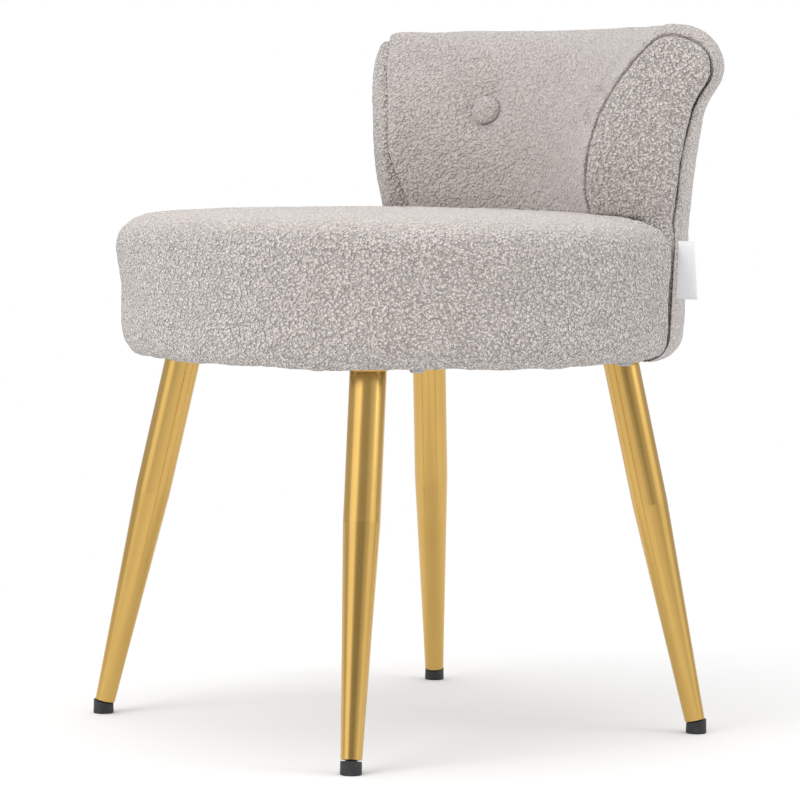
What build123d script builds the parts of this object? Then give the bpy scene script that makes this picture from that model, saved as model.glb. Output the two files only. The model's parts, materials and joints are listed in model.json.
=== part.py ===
"""Upholstered round stool with a low scrolled back and four tapered, splayed metal legs.

Units are millimetres and +Z is up. The origin is on the floor, at the middle of the stool's outline:
the sitter faces -Y, the back stands on the +Y side. Angles round the seat are measured from +Y
towards +X, so the back runs from -BACK_HALF_ANGLE (left) to +BACK_HALF_ANGLE (right).
"""
import os
from math import asin, atan, atan2, cos, degrees, hypot, radians, sin, sqrt

from build123d import *

# Seat cushion
SEAT_RADIUS = 227.0         # widest part of the side
SEAT_TOP_Z = 413.0          # top of the crown
SEAT_THICKNESS = 117.0
SEAT_CROWN = 4.0            # fall from the middle to the edge rounding
SEAT_EDGE_ROUND = 28.0
SEAT_BOTTOM_ROUND = 18.0
SEAT_DRAW_IN = 2.5          # how far the cover pulls the side in below its widest part
COVER_T = 3.0               # pile fabric
DUST_COVER_T = 0.8
COVER_LIP = 8.0             # cover turned under the board

# Seat board
BOARD_T = 15.0
BOARD_INSET = 22.0          # board edge inside the seat's side
STAPLE_CROWN = 10.0
STAPLE_LEG = 6.0
STAPLE_WIRE = 1.2
STAPLE_INSET = 6.0          # staples inside the dust cover's edge
STAPLE_ANGLES = (-24.0, -12.0, 0.0, 12.0, 24.0)

# Scrolled back
BACK_HALF_ANGLE = 58.0
BACK_RISE = 146.0           # crest of the wings above the seat's crown
BACK_CREST_RISE = 3.5       # the middle of the crest above the wings
BACK_PAD_REACH = 82.0       # inner face inside the seat's side
ROLL_RADIUS = 32.0
ROLL_OVERHANG = 20.0        # roll past the seat's side at the middle of the back
ROLL_AXIS_SHIFT = 40.0      # the roll bends round an axis this far in front of the seat's axis
CREST_ROUND = 50.0          # from the crest into the inner face
FLARE_ROUND = 60.0          # hollow under the roll
FLARE_ANGLE = 30.0
FLARE_RUN = 12.0
LEAN_START = 8.0            # the outer face starts to lean this far below the seat's crown
INNER_STRAIGHT = 17.0       # upright foot of the inner face
BACK_END_ROUND = 11.0
END_SEAM_INSET = 10.0       # seam of the end panels inside the outline
SEAM_GAP = 0.15

# Back frame
PANEL_T = 10.0
PANEL_INSET = 17.0          # outer face of the bent panel inside the seat's side
PANEL_END_MARGIN = 8.0      # degrees
PANEL_FOOT_GAP = 0.8        # over the turned-under cover
PANEL_BELOW_CREST = 54.0
RAIL_T = 18.0
RAIL_WIDTH = 30.0
RAIL_INNER_OVERLAP = 4.0
RIB_T = 12.0
RIB_HEIGHT = 75.0
RIB_DEPTH = 12.0
RIB_ANGLES = (-42.0, -14.0, 14.0, 42.0)
BRACKET_ANGLE = 18.0
BRACKET_WIDTH = 30.0
BRACKET_LEG = 38.0
BRACKET_T = 2.0
SCREW_D = 4.5
SCREW_HEAD_D = 9.0
SCREW_HEAD_T = 3.0
PANEL_SCREW_LENGTH = 45.0
PANEL_SCREW_ANGLES = (-44.0, -28.0, 0.0, 28.0, 44.0)
RAIL_SCREW_LENGTH = 42.0
RAIL_SCREW_ANGLES = (-40.0, -14.0, 14.0, 40.0)
BRACKET_SCREW_LENGTH = 11.0
BRACKET_SCREW_SPACING = 16.0

# Tufted buttons
BUTTON_ANGLE = 27.0
BUTTON_ABOVE_SEAT = 82.0
BUTTON_D = 24.0
BUTTON_T = 7.5
BUTTON_DOME = 3.4
TUFT_DEPTH = 8.0
TUFT_DISH_RADIUS = 40.0
TIE_D = 2.0
TIE_ANCHOR_D = 14.0
TIE_ANCHOR_T = 2.0

# Sewn-in tag
TAG_ANGLE = 56.0
TAG_LENGTH = 45.0
TAG_REACH = 12.5
TAG_T = 0.8
TAG_TOP_BELOW_SEAT = 22.0

# Legs
LEG_INSET = 29.6            # leg axis at the plate, inside the board's edge
LEG_SLOPE = 0.158           # outward run per height, along X and along Y
LEG_D = 28.0
LEG_TIP_D = 16.0
LEG_WALL = 1.2
LEG_TAPER_Z = 181.5         # the straight part ends at this height
LEG_TIP_Z = 10.6
PLATE_T = 2.0
PLATE_CORNER = 11.0
PLATE_HOLE_SPREAD = 37.5    # outer holes either side of the leg
PLATE_HOLE_OUT = 6.0
PLATE_HOLE_IN = 36.0
WELD_LEG = 2.5
BOLT_D = 6.0
BOLT_HEAD_D = 11.0
BOLT_HEAD_T = 2.4
BOLT_HEAD_ROUND = 1.2
BOLT_LENGTH = 18.0
WASHER_D = 13.0
WASHER_T = 1.0
TEE_NUT_FLANGE_D = 19.0
TEE_NUT_FLANGE_T = 1.5
TEE_NUT_BARREL_D = 7.8
TEE_NUT_BARREL = 10.0

# Levelling glides
PAD_D = 16.4
PAD_TOP_D = 15.8
PAD_BLANK_T = 14.0          # height of the pad before its top is cut along the leg's tip
PAD_GAP = 1.2               # between the pad's slanted top and the leg's tip
PAD_FOOT_ROUND = 0.8
PAD_RECESS_D = 11.0         # room in the pad's top for the collar
PAD_THROAT_D = 6.2          # hole round the neck; it keeps the ball in
BALL_D = 7.6
BALL_Z = 4.9
NECK_D = 4.0
STUD_D = 6.0
STUD_LENGTH = 24.0
COLLAR_FLATS = 8.0
COLLAR_T = 1.2
INSERT_LENGTH = 22.0

# Clearances
FIT = 0.3                   # between neighbouring pieces
HOLE_FIT = 0.2              # round a screw, stud or tie
BALL_FIT = 0.2

# Derived places
SEAT_BOTTOM_Z = SEAT_TOP_Z - SEAT_THICKNESS
BOARD_RADIUS = SEAT_RADIUS - BOARD_INSET
BOARD_Z = SEAT_BOTTOM_Z + COVER_T
BOARD_TOP_Z = BOARD_Z + BOARD_T
PANEL_OUT = SEAT_RADIUS - PANEL_INSET
PANEL_IN = PANEL_OUT - PANEL_T
PANEL_TOP_Z = SEAT_TOP_Z + BACK_RISE - PANEL_BELOW_CREST
PANEL_HALF_ANGLE = BACK_HALF_ANGLE - PANEL_END_MARGIN
INNER_R = SEAT_RADIUS - BACK_PAD_REACH
LIP_R = BOARD_RADIUS - COVER_LIP
DUST_R = LIP_R - FIT
PLATE_Z = BOARD_Z - DUST_COVER_T - PLATE_T
LEG_TOP_R = BOARD_RADIUS - LEG_INSET
LEG_STRETCH = sqrt(1 + 2 * LEG_SLOPE**2)
SIDE_R = SEAT_RADIUS - SEAT_DRAW_IN
FLOOR_TO_ROOF = SEAT_TOP_Z + BACK_RISE
FAR = 4 * (SEAT_RADIUS + FLOOR_TO_ROOF)
SEAT_AXIS_Y = -ROLL_OVERHANG / 2

LEGS = {
    "front_left": (-1, -1),
    "front_right": (1, -1),
    "rear_left": (-1, 1),
    "rear_right": (1, 1),
}
SIDES = {"left": -1, "right": 1}


def polar(center, radius, angle):
    """Point at an angle in degrees from a centre; 0 is outward, 90 is up."""
    a = radians(angle)
    return center[0] + radius * cos(a), center[1] + radius * sin(a)


def radial_plane(angle):
    """Upright plane through the seat's axis: local X runs outward, local Y up."""
    a = radians(angle)
    return Plane(origin=(0, 0, 0), x_dir=(sin(a), cos(a), 0), z_dir=(cos(a), -sin(a), 0))


def radial_frame(angle, radius, z, tilt=0.0):
    """Frame on a radial line: local Z points at the seat's axis and is tilted up by some degrees."""
    a, t = radians(angle), radians(tilt)
    origin = (radius * sin(a), radius * cos(a), z)
    inward = (-sin(a) * cos(t), -cos(a) * cos(t), sin(t))
    return Plane(origin=origin, x_dir=(cos(a), -sin(a), 0), z_dir=inward)


def ring_sector(r_in, r_out, z_low, z_high, half_angle):
    """Upright ring sector, centred on +Y."""
    face = make_face(Polyline((r_in, z_low), (r_out, z_low), (r_out, z_high), (r_in, z_high), close=True))
    return revolve(radial_plane(half_angle) * face, Axis.Z, 2 * half_angle)


def disc(radius, z_low, z_high):
    """Round plate on the seat's axis."""
    return Pos(0, 0, z_low) * Cylinder(radius, z_high - z_low, align=(Align.CENTER, Align.CENTER, Align.MIN))


def post(diameter, length):
    """Round bar from the local origin along local Z."""
    return Cylinder(diameter / 2, length, align=(Align.CENTER, Align.CENTER, Align.MIN))


def spun(edges):
    """Solid of revolution round local Z, from edges drawn with X as radius and Y as height."""
    return revolve(Plane.XZ * make_face(edges), Axis.Z)


def cap_fall(radius, rim, rise):
    """Fall from the top of a spherical cap at a radius, for a cap of a given rim and rise."""
    sphere = (rim**2 + rise**2) / (2 * rise)
    return sphere - sqrt(sphere**2 - radius**2)


def seat_top_at(radius):
    """Height of the seat's crowned top at a radius inside the edge rounding."""
    return SEAT_TOP_Z - cap_fall(radius, SEAT_RADIUS - SEAT_EDGE_ROUND, SEAT_CROWN)


def seat_outline(inset):
    """Seat outline from the crown's middle to the foot of the bottom rounding, moved in by an inset."""
    edge_c = (SEAT_RADIUS - SEAT_EDGE_ROUND, SEAT_TOP_Z - SEAT_CROWN - SEAT_EDGE_ROUND)
    foot_c = (SIDE_R - SEAT_BOTTOM_ROUND, SEAT_BOTTOM_Z + SEAT_BOTTOM_ROUND)
    edge, foot = SEAT_EDGE_ROUND - inset, SEAT_BOTTOM_ROUND - inset
    shoulder, waist = polar(edge_c, edge, 0), polar(foot_c, foot, 0)
    side_mid = (waist[0] + SEAT_DRAW_IN * 0.1, (shoulder[1] + waist[1]) / 2)
    crown_mid = (edge_c[0] / 2, seat_top_at(edge_c[0] / 2) - inset)
    return [
        ThreePointArc((0, SEAT_TOP_Z - inset), crown_mid, polar(edge_c, edge, 90)),
        ThreePointArc(polar(edge_c, edge, 90), polar(edge_c, edge, 45), shoulder),
        ThreePointArc(shoulder, side_mid, waist),
        ThreePointArc(waist, polar(foot_c, foot, -45), polar(foot_c, foot, -90)),
    ]


def back_notch():
    """Room cut out of the seat for the back, which runs down behind it to the bottom."""
    half_angle = BACK_HALF_ANGLE + degrees(FIT / PANEL_IN)
    return ring_sector(PANEL_IN - FIT, FAR, SEAT_BOTTOM_Z - FIT, SEAT_TOP_Z + FIT, half_angle)


def seat_cover():
    """Fabric drawn over the foam and turned under the board, with its crown and drawn-in side."""
    outer, inner = seat_outline(0), seat_outline(COVER_T)
    foot_out, foot_in = outer[-1] @ 1, inner[-1] @ 1
    lip = Polyline(foot_out, (LIP_R, foot_out.Y), (LIP_R, foot_in.Y), foot_in)
    crown = Line(outer[0] @ 0, inner[0] @ 0)
    return spun([*outer, lip, *inner, crown]) - back_notch()


def seat_foam():
    """Foam drum that sits on the board and reaches down round the board's edge."""
    outline = seat_outline(COVER_T + FIT)
    foot = outline[-1] @ 1
    under = Polyline(
        foot,
        (BOARD_RADIUS + FIT, foot.Y),
        (BOARD_RADIUS + FIT, BOARD_TOP_Z),
        (0, BOARD_TOP_Z),
        outline[0] @ 0,
    )
    foam = spun([*outline, under]) - back_notch()
    for frame in bolt_frames():
        foam -= frame * Pos(0, 0, BOARD_TOP_Z) * post(TEE_NUT_FLANGE_D + 2 * FIT, TEE_NUT_FLANGE_T + FIT)
    for side in SIDES.values():
        foam -= bracket_pocket(side)
    return foam


def seat_board():
    """Round plywood board, rebated at the rear for the bent panel, drilled for every fixing."""
    board = disc(BOARD_RADIUS, BOARD_Z, BOARD_TOP_Z) - back_notch()
    for frame in bolt_frames():
        board -= frame * Pos(0, 0, BOARD_Z) * post(TEE_NUT_BARREL_D + HOLE_FIT, BOARD_T)
    board -= grown_screws(bracket_screw_frames(), BRACKET_SCREW_LENGTH)
    board -= grown_screws(panel_screw_frames(), PANEL_SCREW_LENGTH)
    return board - [frame * staple(HOLE_FIT) for frame in staple_frames()]


def dust_cover():
    """Thin black cloth that closes the underside."""
    cloth = disc(DUST_R, BOARD_Z - DUST_COVER_T, BOARD_Z)
    for frame in bolt_frames():
        cloth -= frame * Pos(0, 0, PLATE_Z) * post(BOLT_D + 2 * HOLE_FIT, BOARD_T)
    return cloth - [frame * staple(HOLE_FIT) for frame in staple_frames()]


def staple(grow=0.0):
    """Wire staple, crown under the dust cover and both legs up into the board."""
    wire = STAPLE_WIRE + 2 * grow
    low = (Align.CENTER, Align.CENTER, Align.MAX)
    crown = Box(STAPLE_CROWN + 2 * grow, wire, STAPLE_WIRE, align=low)
    span = STAPLE_CROWN - STAPLE_WIRE
    leg = Box(wire, wire, STAPLE_LEG + STAPLE_WIRE, align=(Align.CENTER, Align.CENTER, Align.MIN))
    legs = [Pos(x, 0, -STAPLE_WIRE) * leg for x in (-span / 2, span / 2)]
    return crown + legs


def staple_frames():
    """Places of the staples: a row on each side, between the legs."""
    radius = DUST_R - STAPLE_INSET
    z = BOARD_Z - DUST_COVER_T
    frames = []
    for quarter in (0, 90, 180, 270):
        for step in STAPLE_ANGLES:
            a = radians(quarter + step)
            frames.append(Pos(radius * sin(a), radius * cos(a), z) * Rot(0, 0, -quarter - step))
    return frames


def roll_reach(angle):
    """Radius of the roll's outermost line, which flares away from the seat's axis towards the wings."""
    a = radians(angle)
    arc = SEAT_RADIUS + ROLL_OVERHANG + ROLL_AXIS_SHIFT
    return sqrt(arc**2 - (ROLL_AXIS_SHIFT * sin(a)) ** 2) - ROLL_AXIS_SHIFT * cos(a)


def crest_height(angle):
    """Height of the crest, a little higher in the middle than at the wings."""
    return SEAT_TOP_Z + BACK_RISE + BACK_CREST_RISE * cos(radians(90 * angle / BACK_HALF_ANGLE))


def inner_face_arc(angle):
    """Centre, radius and end slope of the arc of the inner face, tangent to the crest arc."""
    crest = crest_height(angle)
    crest_r = roll_reach(angle) - ROLL_RADIUS
    drop = crest - CREST_ROUND - (SEAT_TOP_Z + INNER_STRAIGHT)
    slope = 2 * atan((crest_r - INNER_R - CREST_ROUND) / drop)
    run = drop / sin(slope)
    center = (crest_r + run * cos(slope), SEAT_TOP_Z + INNER_STRAIGHT)
    return center, run + CREST_ROUND, degrees(slope)


def back_section(angle, inset=0.0, spare=0.0):
    """Radial section of the back: outer face, roll, inner face, and the part behind the seat.

    The inset moves the visible faces inward. The spare moves the hidden faces outward, so that a
    section can be cut out of another without faces that coincide.
    """
    crest = crest_height(angle)
    roll_c = (roll_reach(angle) - ROLL_RADIUS, crest - ROLL_RADIUS)
    crest_c = (roll_c[0], crest - CREST_ROUND)
    roll, crown = ROLL_RADIUS - inset, CREST_ROUND - inset
    hollow = FLARE_ROUND + inset
    flare = radians(FLARE_ANGLE)
    flare_top = polar(roll_c, ROLL_RADIUS, -FLARE_ANGLE)
    flare_foot = (flare_top[0] - FLARE_RUN * sin(flare), flare_top[1] - FLARE_RUN * cos(flare))
    hollow_c = polar(flare_foot, FLARE_ROUND, -FLARE_ANGLE)
    shoulder = (SEAT_RADIUS - inset, SEAT_TOP_Z - LEAN_START)
    away = (hollow_c[0] - shoulder[0], hollow_c[1] - shoulder[1])
    lean = degrees(atan2(*away) - asin(hollow / hypot(*away)))
    face_c, face_r, slope = inner_face_arc(angle)
    face_r -= inset
    foot_c = (SIDE_R - SEAT_BOTTOM_ROUND, SEAT_BOTTOM_Z + SEAT_BOTTOM_ROUND)
    foot_r = SEAT_BOTTOM_ROUND - inset
    foot, waist = polar(foot_c, foot_r, -90), polar(foot_c, foot_r, 0)
    lean_top, hollow_top = polar(hollow_c, hollow, 180 - lean), polar(hollow_c, hollow, 180 - FLARE_ANGLE)
    crown_end = polar(crest_c, crown, 180 - slope)
    face_foot = polar(face_c, face_r, 180)
    back_r = PANEL_IN - spare
    pad_foot = (face_foot[0], seat_top_at(face_foot[0]) + FIT - spare)
    pad_heel = (back_r, seat_top_at(PANEL_IN) + FIT - spare)
    edges = [
        ThreePointArc(foot, polar(foot_c, foot_r, -45), waist),
        Line(waist, shoulder),
        Line(shoulder, lean_top),
        ThreePointArc(lean_top, polar(hollow_c, hollow, 180 - (lean + FLARE_ANGLE) / 2), hollow_top),
        Line(hollow_top, polar(roll_c, roll, -FLARE_ANGLE)),
        ThreePointArc(polar(roll_c, roll, -FLARE_ANGLE), polar(roll_c, roll, 30), polar(roll_c, roll, 90)),
        ThreePointArc(polar(crest_c, crown, 90), polar(crest_c, crown, 135 - slope / 2), crown_end),
        ThreePointArc(crown_end, polar(face_c, face_r, 180 - slope / 2), face_foot),
        Line(face_foot, pad_foot),
        Line(pad_foot, pad_heel),
        Line(pad_heel, (back_r, foot[1])),
        Line((back_r, foot[1]), foot),
    ]
    return radial_plane(angle) * make_face(edges)


def back_form(inset=0.0, spare=0.0):
    """The back as one soft form, with rounded ends and the two sewn tufts."""
    end = BACK_HALF_ANGLE - degrees(inset / PANEL_IN)
    steps = [end * k / 3 for k in range(-3, 4)]
    form = loft([back_section(angle, inset, spare) for angle in steps])
    for side in SIDES.values():
        form = fillet(shown_end_edges(form, side * end), BACK_END_ROUND - inset)
    for side in SIDES.values():
        dish = Pos(0, 0, TUFT_DISH_RADIUS - TUFT_DEPTH) * Sphere(TUFT_DISH_RADIUS + inset)
        form -= button_frame(side) * dish
    return form


def shown_end_edges(form, angle):
    """Edges round the visible outline of one end face of the back."""
    plane = radial_plane(angle)
    end_face = min(form.faces(), key=lambda f: abs(plane.to_local_coords(f.center()).Z))
    hidden_top = SEAT_TOP_Z + FIT
    shown = []
    for edge in end_face.edges():
        middle = plane.to_local_coords(edge @ 0.5)
        under_pad = middle.Y < hidden_top and middle.X < SIDE_R - SEAT_BOTTOM_ROUND
        if not under_pad:
            shown.append(edge)
    return shown


def end_seam_prism(side, grow):
    """Prism through one end of the back, with the outline of the end panel's seam."""
    end = side * BACK_HALF_ANGLE
    face = back_section(end, END_SEAM_INSET - grow, COVER_T)
    plane = radial_plane(end)
    depth = BACK_END_ROUND + COVER_T
    return extrude(face, depth, dir=-side * plane.z_dir) + extrude(face, COVER_T, dir=side * plane.z_dir)


def back_shell():
    """The whole fabric skin of the back, before it is parted at the end seams."""
    return back_form() - back_form(COVER_T, COVER_T)


def tag_box(grow=0.0):
    """Flat tag that stands out of the cover along a radius."""
    z_top = SEAT_TOP_Z - TAG_TOP_BELOW_SEAT
    reach = COVER_T + TAG_REACH
    length = TAG_LENGTH + 2 * grow
    box = Box(reach, TAG_T + 2 * grow, length, align=(Align.MIN, Align.CENTER, Align.CENTER))
    angle = radians(TAG_ANGLE)
    base = SEAT_RADIUS - COVER_T - grow
    place = Pos(base * sin(angle), base * cos(angle), z_top - TAG_LENGTH / 2)
    return place * Rot(0, 0, 90 - TAG_ANGLE) * box


def back_cover(shell):
    """Fabric from the inner face over the roll and down the outside, slit for the tag."""
    cover = shell - [end_seam_prism(side, SEAM_GAP) for side in SIDES.values()]
    cover -= [button_frame(side) * tie_bar(HOLE_FIT) for side in SIDES.values()]
    return cover - tag_box(SEAM_GAP)


def back_end_panel(shell, side):
    """Paddle-shaped fabric panel that closes one end of the back."""
    return shell & end_seam_prism(side, 0)


def back_frame_room():
    """Everything stiff inside the back, with its clearance, to be cut out of the foam."""
    half_angle = PANEL_HALF_ANGLE + degrees(FIT / PANEL_IN)
    room = [ring_sector(PANEL_IN - FIT, PANEL_OUT + FIT, 0, PANEL_TOP_Z + FIT, half_angle)]
    room.append(ring_sector(rail_in() - FIT, rail_out() + FIT, PANEL_TOP_Z - FIT, rail_top() + FIT, half_angle))
    room += [back_rib(angle, FIT) for angle in RIB_ANGLES]
    head = post(SCREW_HEAD_D + 2 * FIT, SCREW_HEAD_T + FIT)
    room += [frame * head for frame in panel_screw_frames() + rail_screw_frames()]
    room += [anchor_frame(side) * post(TIE_ANCHOR_D + 2 * FIT, TIE_ANCHOR_T + FIT) for side in SIDES.values()]
    return room


def back_foam(inner):
    """Foam between the frame and the cover, inside or outside the bent panel's inner face."""
    foam = back_form(COVER_T + FIT)
    core = disc(PANEL_IN, 0, FAR)
    foam = foam & core if inner else foam - core
    foam -= back_frame_room()
    if inner:
        foam -= [button_frame(side) * tie_bar(HOLE_FIT) for side in SIDES.values()]
    return foam


def back_panel():
    """Bent plywood panel, screwed to the rear edge of the seat board."""
    panel = ring_sector(PANEL_IN, PANEL_OUT, BOARD_Z + PANEL_FOOT_GAP, PANEL_TOP_Z, PANEL_HALF_ANGLE)
    panel -= [button_frame(side) * tie_bar(HOLE_FIT) for side in SIDES.values()]
    panel -= grown_screws(panel_screw_frames(), PANEL_SCREW_LENGTH)
    panel -= grown_screws(rail_screw_frames(), RAIL_SCREW_LENGTH)
    return panel - grown_screws(bracket_screw_frames(), BRACKET_SCREW_LENGTH)


def rail_in():
    """Inner radius of the top rail."""
    return PANEL_IN - RAIL_INNER_OVERLAP


def rail_out():
    """Outer radius of the top rail."""
    return rail_in() + RAIL_WIDTH


def rail_top():
    """Height of the rail's top face."""
    return PANEL_TOP_Z + RAIL_T


def back_top_rail():
    """Flat curved plywood rail that stiffens the panel's top and carries the roll."""
    rail = ring_sector(rail_in(), rail_out(), PANEL_TOP_Z, rail_top(), PANEL_HALF_ANGLE)
    return rail - grown_screws(rail_screw_frames(), RAIL_SCREW_LENGTH)


def back_rib(angle, grow=0.0):
    """Tapered plywood rib glued between the panel's outer face and the rail."""
    reach = PANEL_OUT + RIB_DEPTH + grow
    foot = PANEL_TOP_Z - RIB_HEIGHT - grow
    start = sqrt(PANEL_OUT**2 + (RIB_T / 2 + grow) ** 2)
    side_face = make_face(
        Polyline((PANEL_IN, foot), (start, foot), (reach, PANEL_TOP_Z), (PANEL_IN, PANEL_TOP_Z), close=True)
    )
    slab = extrude(radial_plane(angle) * side_face, RIB_T / 2 + grow, both=True)
    return slab - disc(PANEL_OUT, 0, FAR)


def screw(length):
    """Pan-head screw along local Z, with the underside of its head at the local origin."""
    head = post(SCREW_HEAD_D, SCREW_HEAD_T)
    return head + Rot(180, 0, 0) * post(SCREW_D, length)


def grown_screws(frames, length):
    """Clearance holes for screws, right through what lies under their heads."""
    hole = Rot(180, 0, 0) * post(SCREW_D + 2 * HOLE_FIT, length + HOLE_FIT)
    return [frame * hole for frame in frames]


def panel_screw_frames():
    """Screws through the panel into the board's rear edge, heads outside."""
    z = BOARD_Z + BOARD_T / 2
    return [radial_frame(angle, PANEL_OUT + SEAM_GAP, z) * Rot(180, 0, 0) for angle in PANEL_SCREW_ANGLES]


def rail_screw_frames():
    """Screws down through the rail into the panel's top edge."""
    radius = (PANEL_IN + PANEL_OUT) / 2
    frames = []
    for angle in RAIL_SCREW_ANGLES:
        a = radians(angle)
        frames.append(Pos(radius * sin(a), radius * cos(a), rail_top()))
    return frames


def bracket_plane(side):
    """Frame at the foot of one bracket: local X along the bend, local Y outward, local Z up."""
    a = radians(side * BRACKET_ANGLE)
    half = BRACKET_WIDTH / 2
    radius = sqrt((PANEL_IN - FIT) ** 2 - half**2)
    return Plane(origin=(radius * sin(a), radius * cos(a), BOARD_TOP_Z), x_dir=(cos(a), -sin(a), 0))


def back_bracket(side):
    """Steel angle bracket between the board's top and the panel's inner face."""
    corner = (Align.CENTER, Align.MAX, Align.MIN)
    flat = Box(BRACKET_WIDTH, BRACKET_LEG, BRACKET_T, align=corner)
    upright = Box(BRACKET_WIDTH, BRACKET_T, BRACKET_LEG, align=corner)
    bracket = bracket_plane(side) * (flat + upright)
    return bracket - grown_screws(bracket_screw_frames(), BRACKET_SCREW_LENGTH)


def bracket_pocket(side):
    """Room in the seat foam for a bracket and its screw heads."""
    corner = (Align.CENTER, Align.MAX, Align.MIN)
    width, reach = BRACKET_WIDTH + 2 * FIT, BRACKET_LEG + FIT
    depth = BRACKET_T + SCREW_HEAD_T + FIT
    place = bracket_plane(side) * Pos(0, FAR, 0)
    floor_room = Box(width, FAR + reach, depth, align=corner)
    wall_room = Box(width, FAR + depth, reach, align=corner)
    return place * (floor_room + wall_room)


def bracket_screw_frames():
    """Two screws down into the board and two outward into the panel, for each bracket."""
    half = BRACKET_SCREW_SPACING / 2
    out = BRACKET_LEG * 0.6
    frames = []
    for side in SIDES.values():
        plane = bracket_plane(side)
        for x in (-half, half):
            frames.append(plane * Pos(x, -out, BRACKET_T))
            frames.append(plane * Pos(x, -BRACKET_T, out) * Rot(90, 0, 0))
    return frames


def button_frame(side):
    """Frame on the inner face at a tuft: local Z is the outward normal of the pad."""
    z = SEAT_TOP_Z + BUTTON_ABOVE_SEAT
    (c_r, c_z), radius, _ = inner_face_arc(BUTTON_ANGLE)
    tilt = asin((z - c_z) / radius)
    return radial_frame(side * BUTTON_ANGLE, c_r - radius * cos(tilt), z, degrees(tilt))


def tuft_button(side):
    """Fabric-covered button, domed on both faces, seated in its tuft."""
    rim = BUTTON_D / 2
    low = -TUFT_DEPTH + FIT
    top = low + BUTTON_T
    seat_rise = TUFT_DISH_RADIUS - sqrt(TUFT_DISH_RADIUS**2 - rim**2)
    back_mid = low + cap_fall(rim / 2, rim, seat_rise)
    dome_mid = top - cap_fall(rim / 2, rim, BUTTON_DOME)
    edges = [
        ThreePointArc((0, low), (rim / 2, back_mid), (rim, low + seat_rise)),
        Line((rim, low + seat_rise), (rim, top - BUTTON_DOME)),
        ThreePointArc((rim, top - BUTTON_DOME), (rim / 2, dome_mid), (0, top)),
        Line((0, top), (0, low)),
    ]
    return button_frame(side) * spun(edges)


def tie_length():
    """Length of a tie from its button to the panel's outer face, along the button's axis."""
    frame = button_frame(1)
    start = frame.origin - frame.z_dir * TUFT_DEPTH
    flat = hypot(frame.z_dir.X, frame.z_dir.Y)
    return (PANEL_OUT - hypot(start.X, start.Y)) / flat


def tie_bar(grow=0.0):
    """Straight twine along the button's axis, from under the button through the panel."""
    length = tie_length() + TIE_ANCHOR_T
    bar = post(TIE_D + 2 * grow, length)
    return Pos(0, 0, -TUFT_DEPTH) * Rot(180, 0, 0) * bar


def anchor_frame(side):
    """Frame on the panel's outer face where a tie comes out: local Z points outward."""
    frame = button_frame(side)
    exit_point = frame.origin - frame.z_dir * (TUFT_DEPTH + tie_length())
    return radial_frame(side * BUTTON_ANGLE, PANEL_OUT + FIT, exit_point.Z) * Rot(180, 0, 0)


def tuft_tie(side):
    """Twine with the flat washer that anchors it behind the panel."""
    washer = anchor_frame(side) * post(TIE_ANCHOR_D, TIE_ANCHOR_T)
    return button_frame(side) * tie_bar() + washer


def leg_axis_point(signs, z):
    """Point of a leg's axis at a height."""
    half = LEG_TOP_R / sqrt(2) + LEG_SLOPE * (PLATE_Z - z)
    return signs[0] * half, signs[1] * half, z


def leg_frame(signs):
    """Frame at a leg's tip: local Z runs up the leg, local X is level."""
    up = (-signs[0] * LEG_SLOPE, -signs[1] * LEG_SLOPE, 1)
    return Plane(origin=leg_axis_point(signs, LEG_TIP_Z), x_dir=(signs[1], -signs[0], 0), z_dir=up)


def leg_bore_at(height):
    """Inner radius of the tapered tube at a length up from its tip."""
    taper = (LEG_TAPER_Z - LEG_TIP_Z) * LEG_STRETCH
    return LEG_TIP_D / 2 - LEG_WALL + (LEG_D - LEG_TIP_D) / 2 * min(height / taper, 1)


def above_plate_foot():
    """Everything from the plate's underside up."""
    return Pos(0, 0, PLATE_Z) * Box(FAR, FAR, FAR, align=(Align.CENTER, Align.CENTER, Align.MIN))


def leg_tube(signs):
    """Tapered round tube, cut level where it meets its plate."""
    taper = (LEG_TAPER_Z - LEG_TIP_Z) * LEG_STRETCH
    top = (PLATE_Z - LEG_TIP_Z) * LEG_STRETCH + LEG_D
    tip, full = LEG_TIP_D / 2, LEG_D / 2
    outline = Polyline(
        (tip, 0),
        (full, taper),
        (full, top),
        (full - LEG_WALL, top),
        (full - LEG_WALL, taper),
        (tip - LEG_WALL, 0),
        close=True,
    )
    return leg_frame(signs) * spun(outline) - above_plate_foot()


def plate_frame(signs):
    """Frame of a leg plate: local X level along the seat's edge, local Y outward, local Z up."""
    x, y, _ = leg_axis_point(signs, PLATE_Z)
    return Pos(x, y, 0) * Rot(0, 0, degrees(atan2(signs[1], signs[0])) - 90)


def plate_holes():
    """Bolt places of one plate, in its own frame."""
    return (-PLATE_HOLE_SPREAD, PLATE_HOLE_OUT), (PLATE_HOLE_SPREAD, PLATE_HOLE_OUT), (0, -PLATE_HOLE_IN)


def bolt_frames():
    """Places of all leg bolts."""
    return [plate_frame(signs) * Pos(x, y, 0) for signs in LEGS.values() for x, y in plate_holes()]


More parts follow.
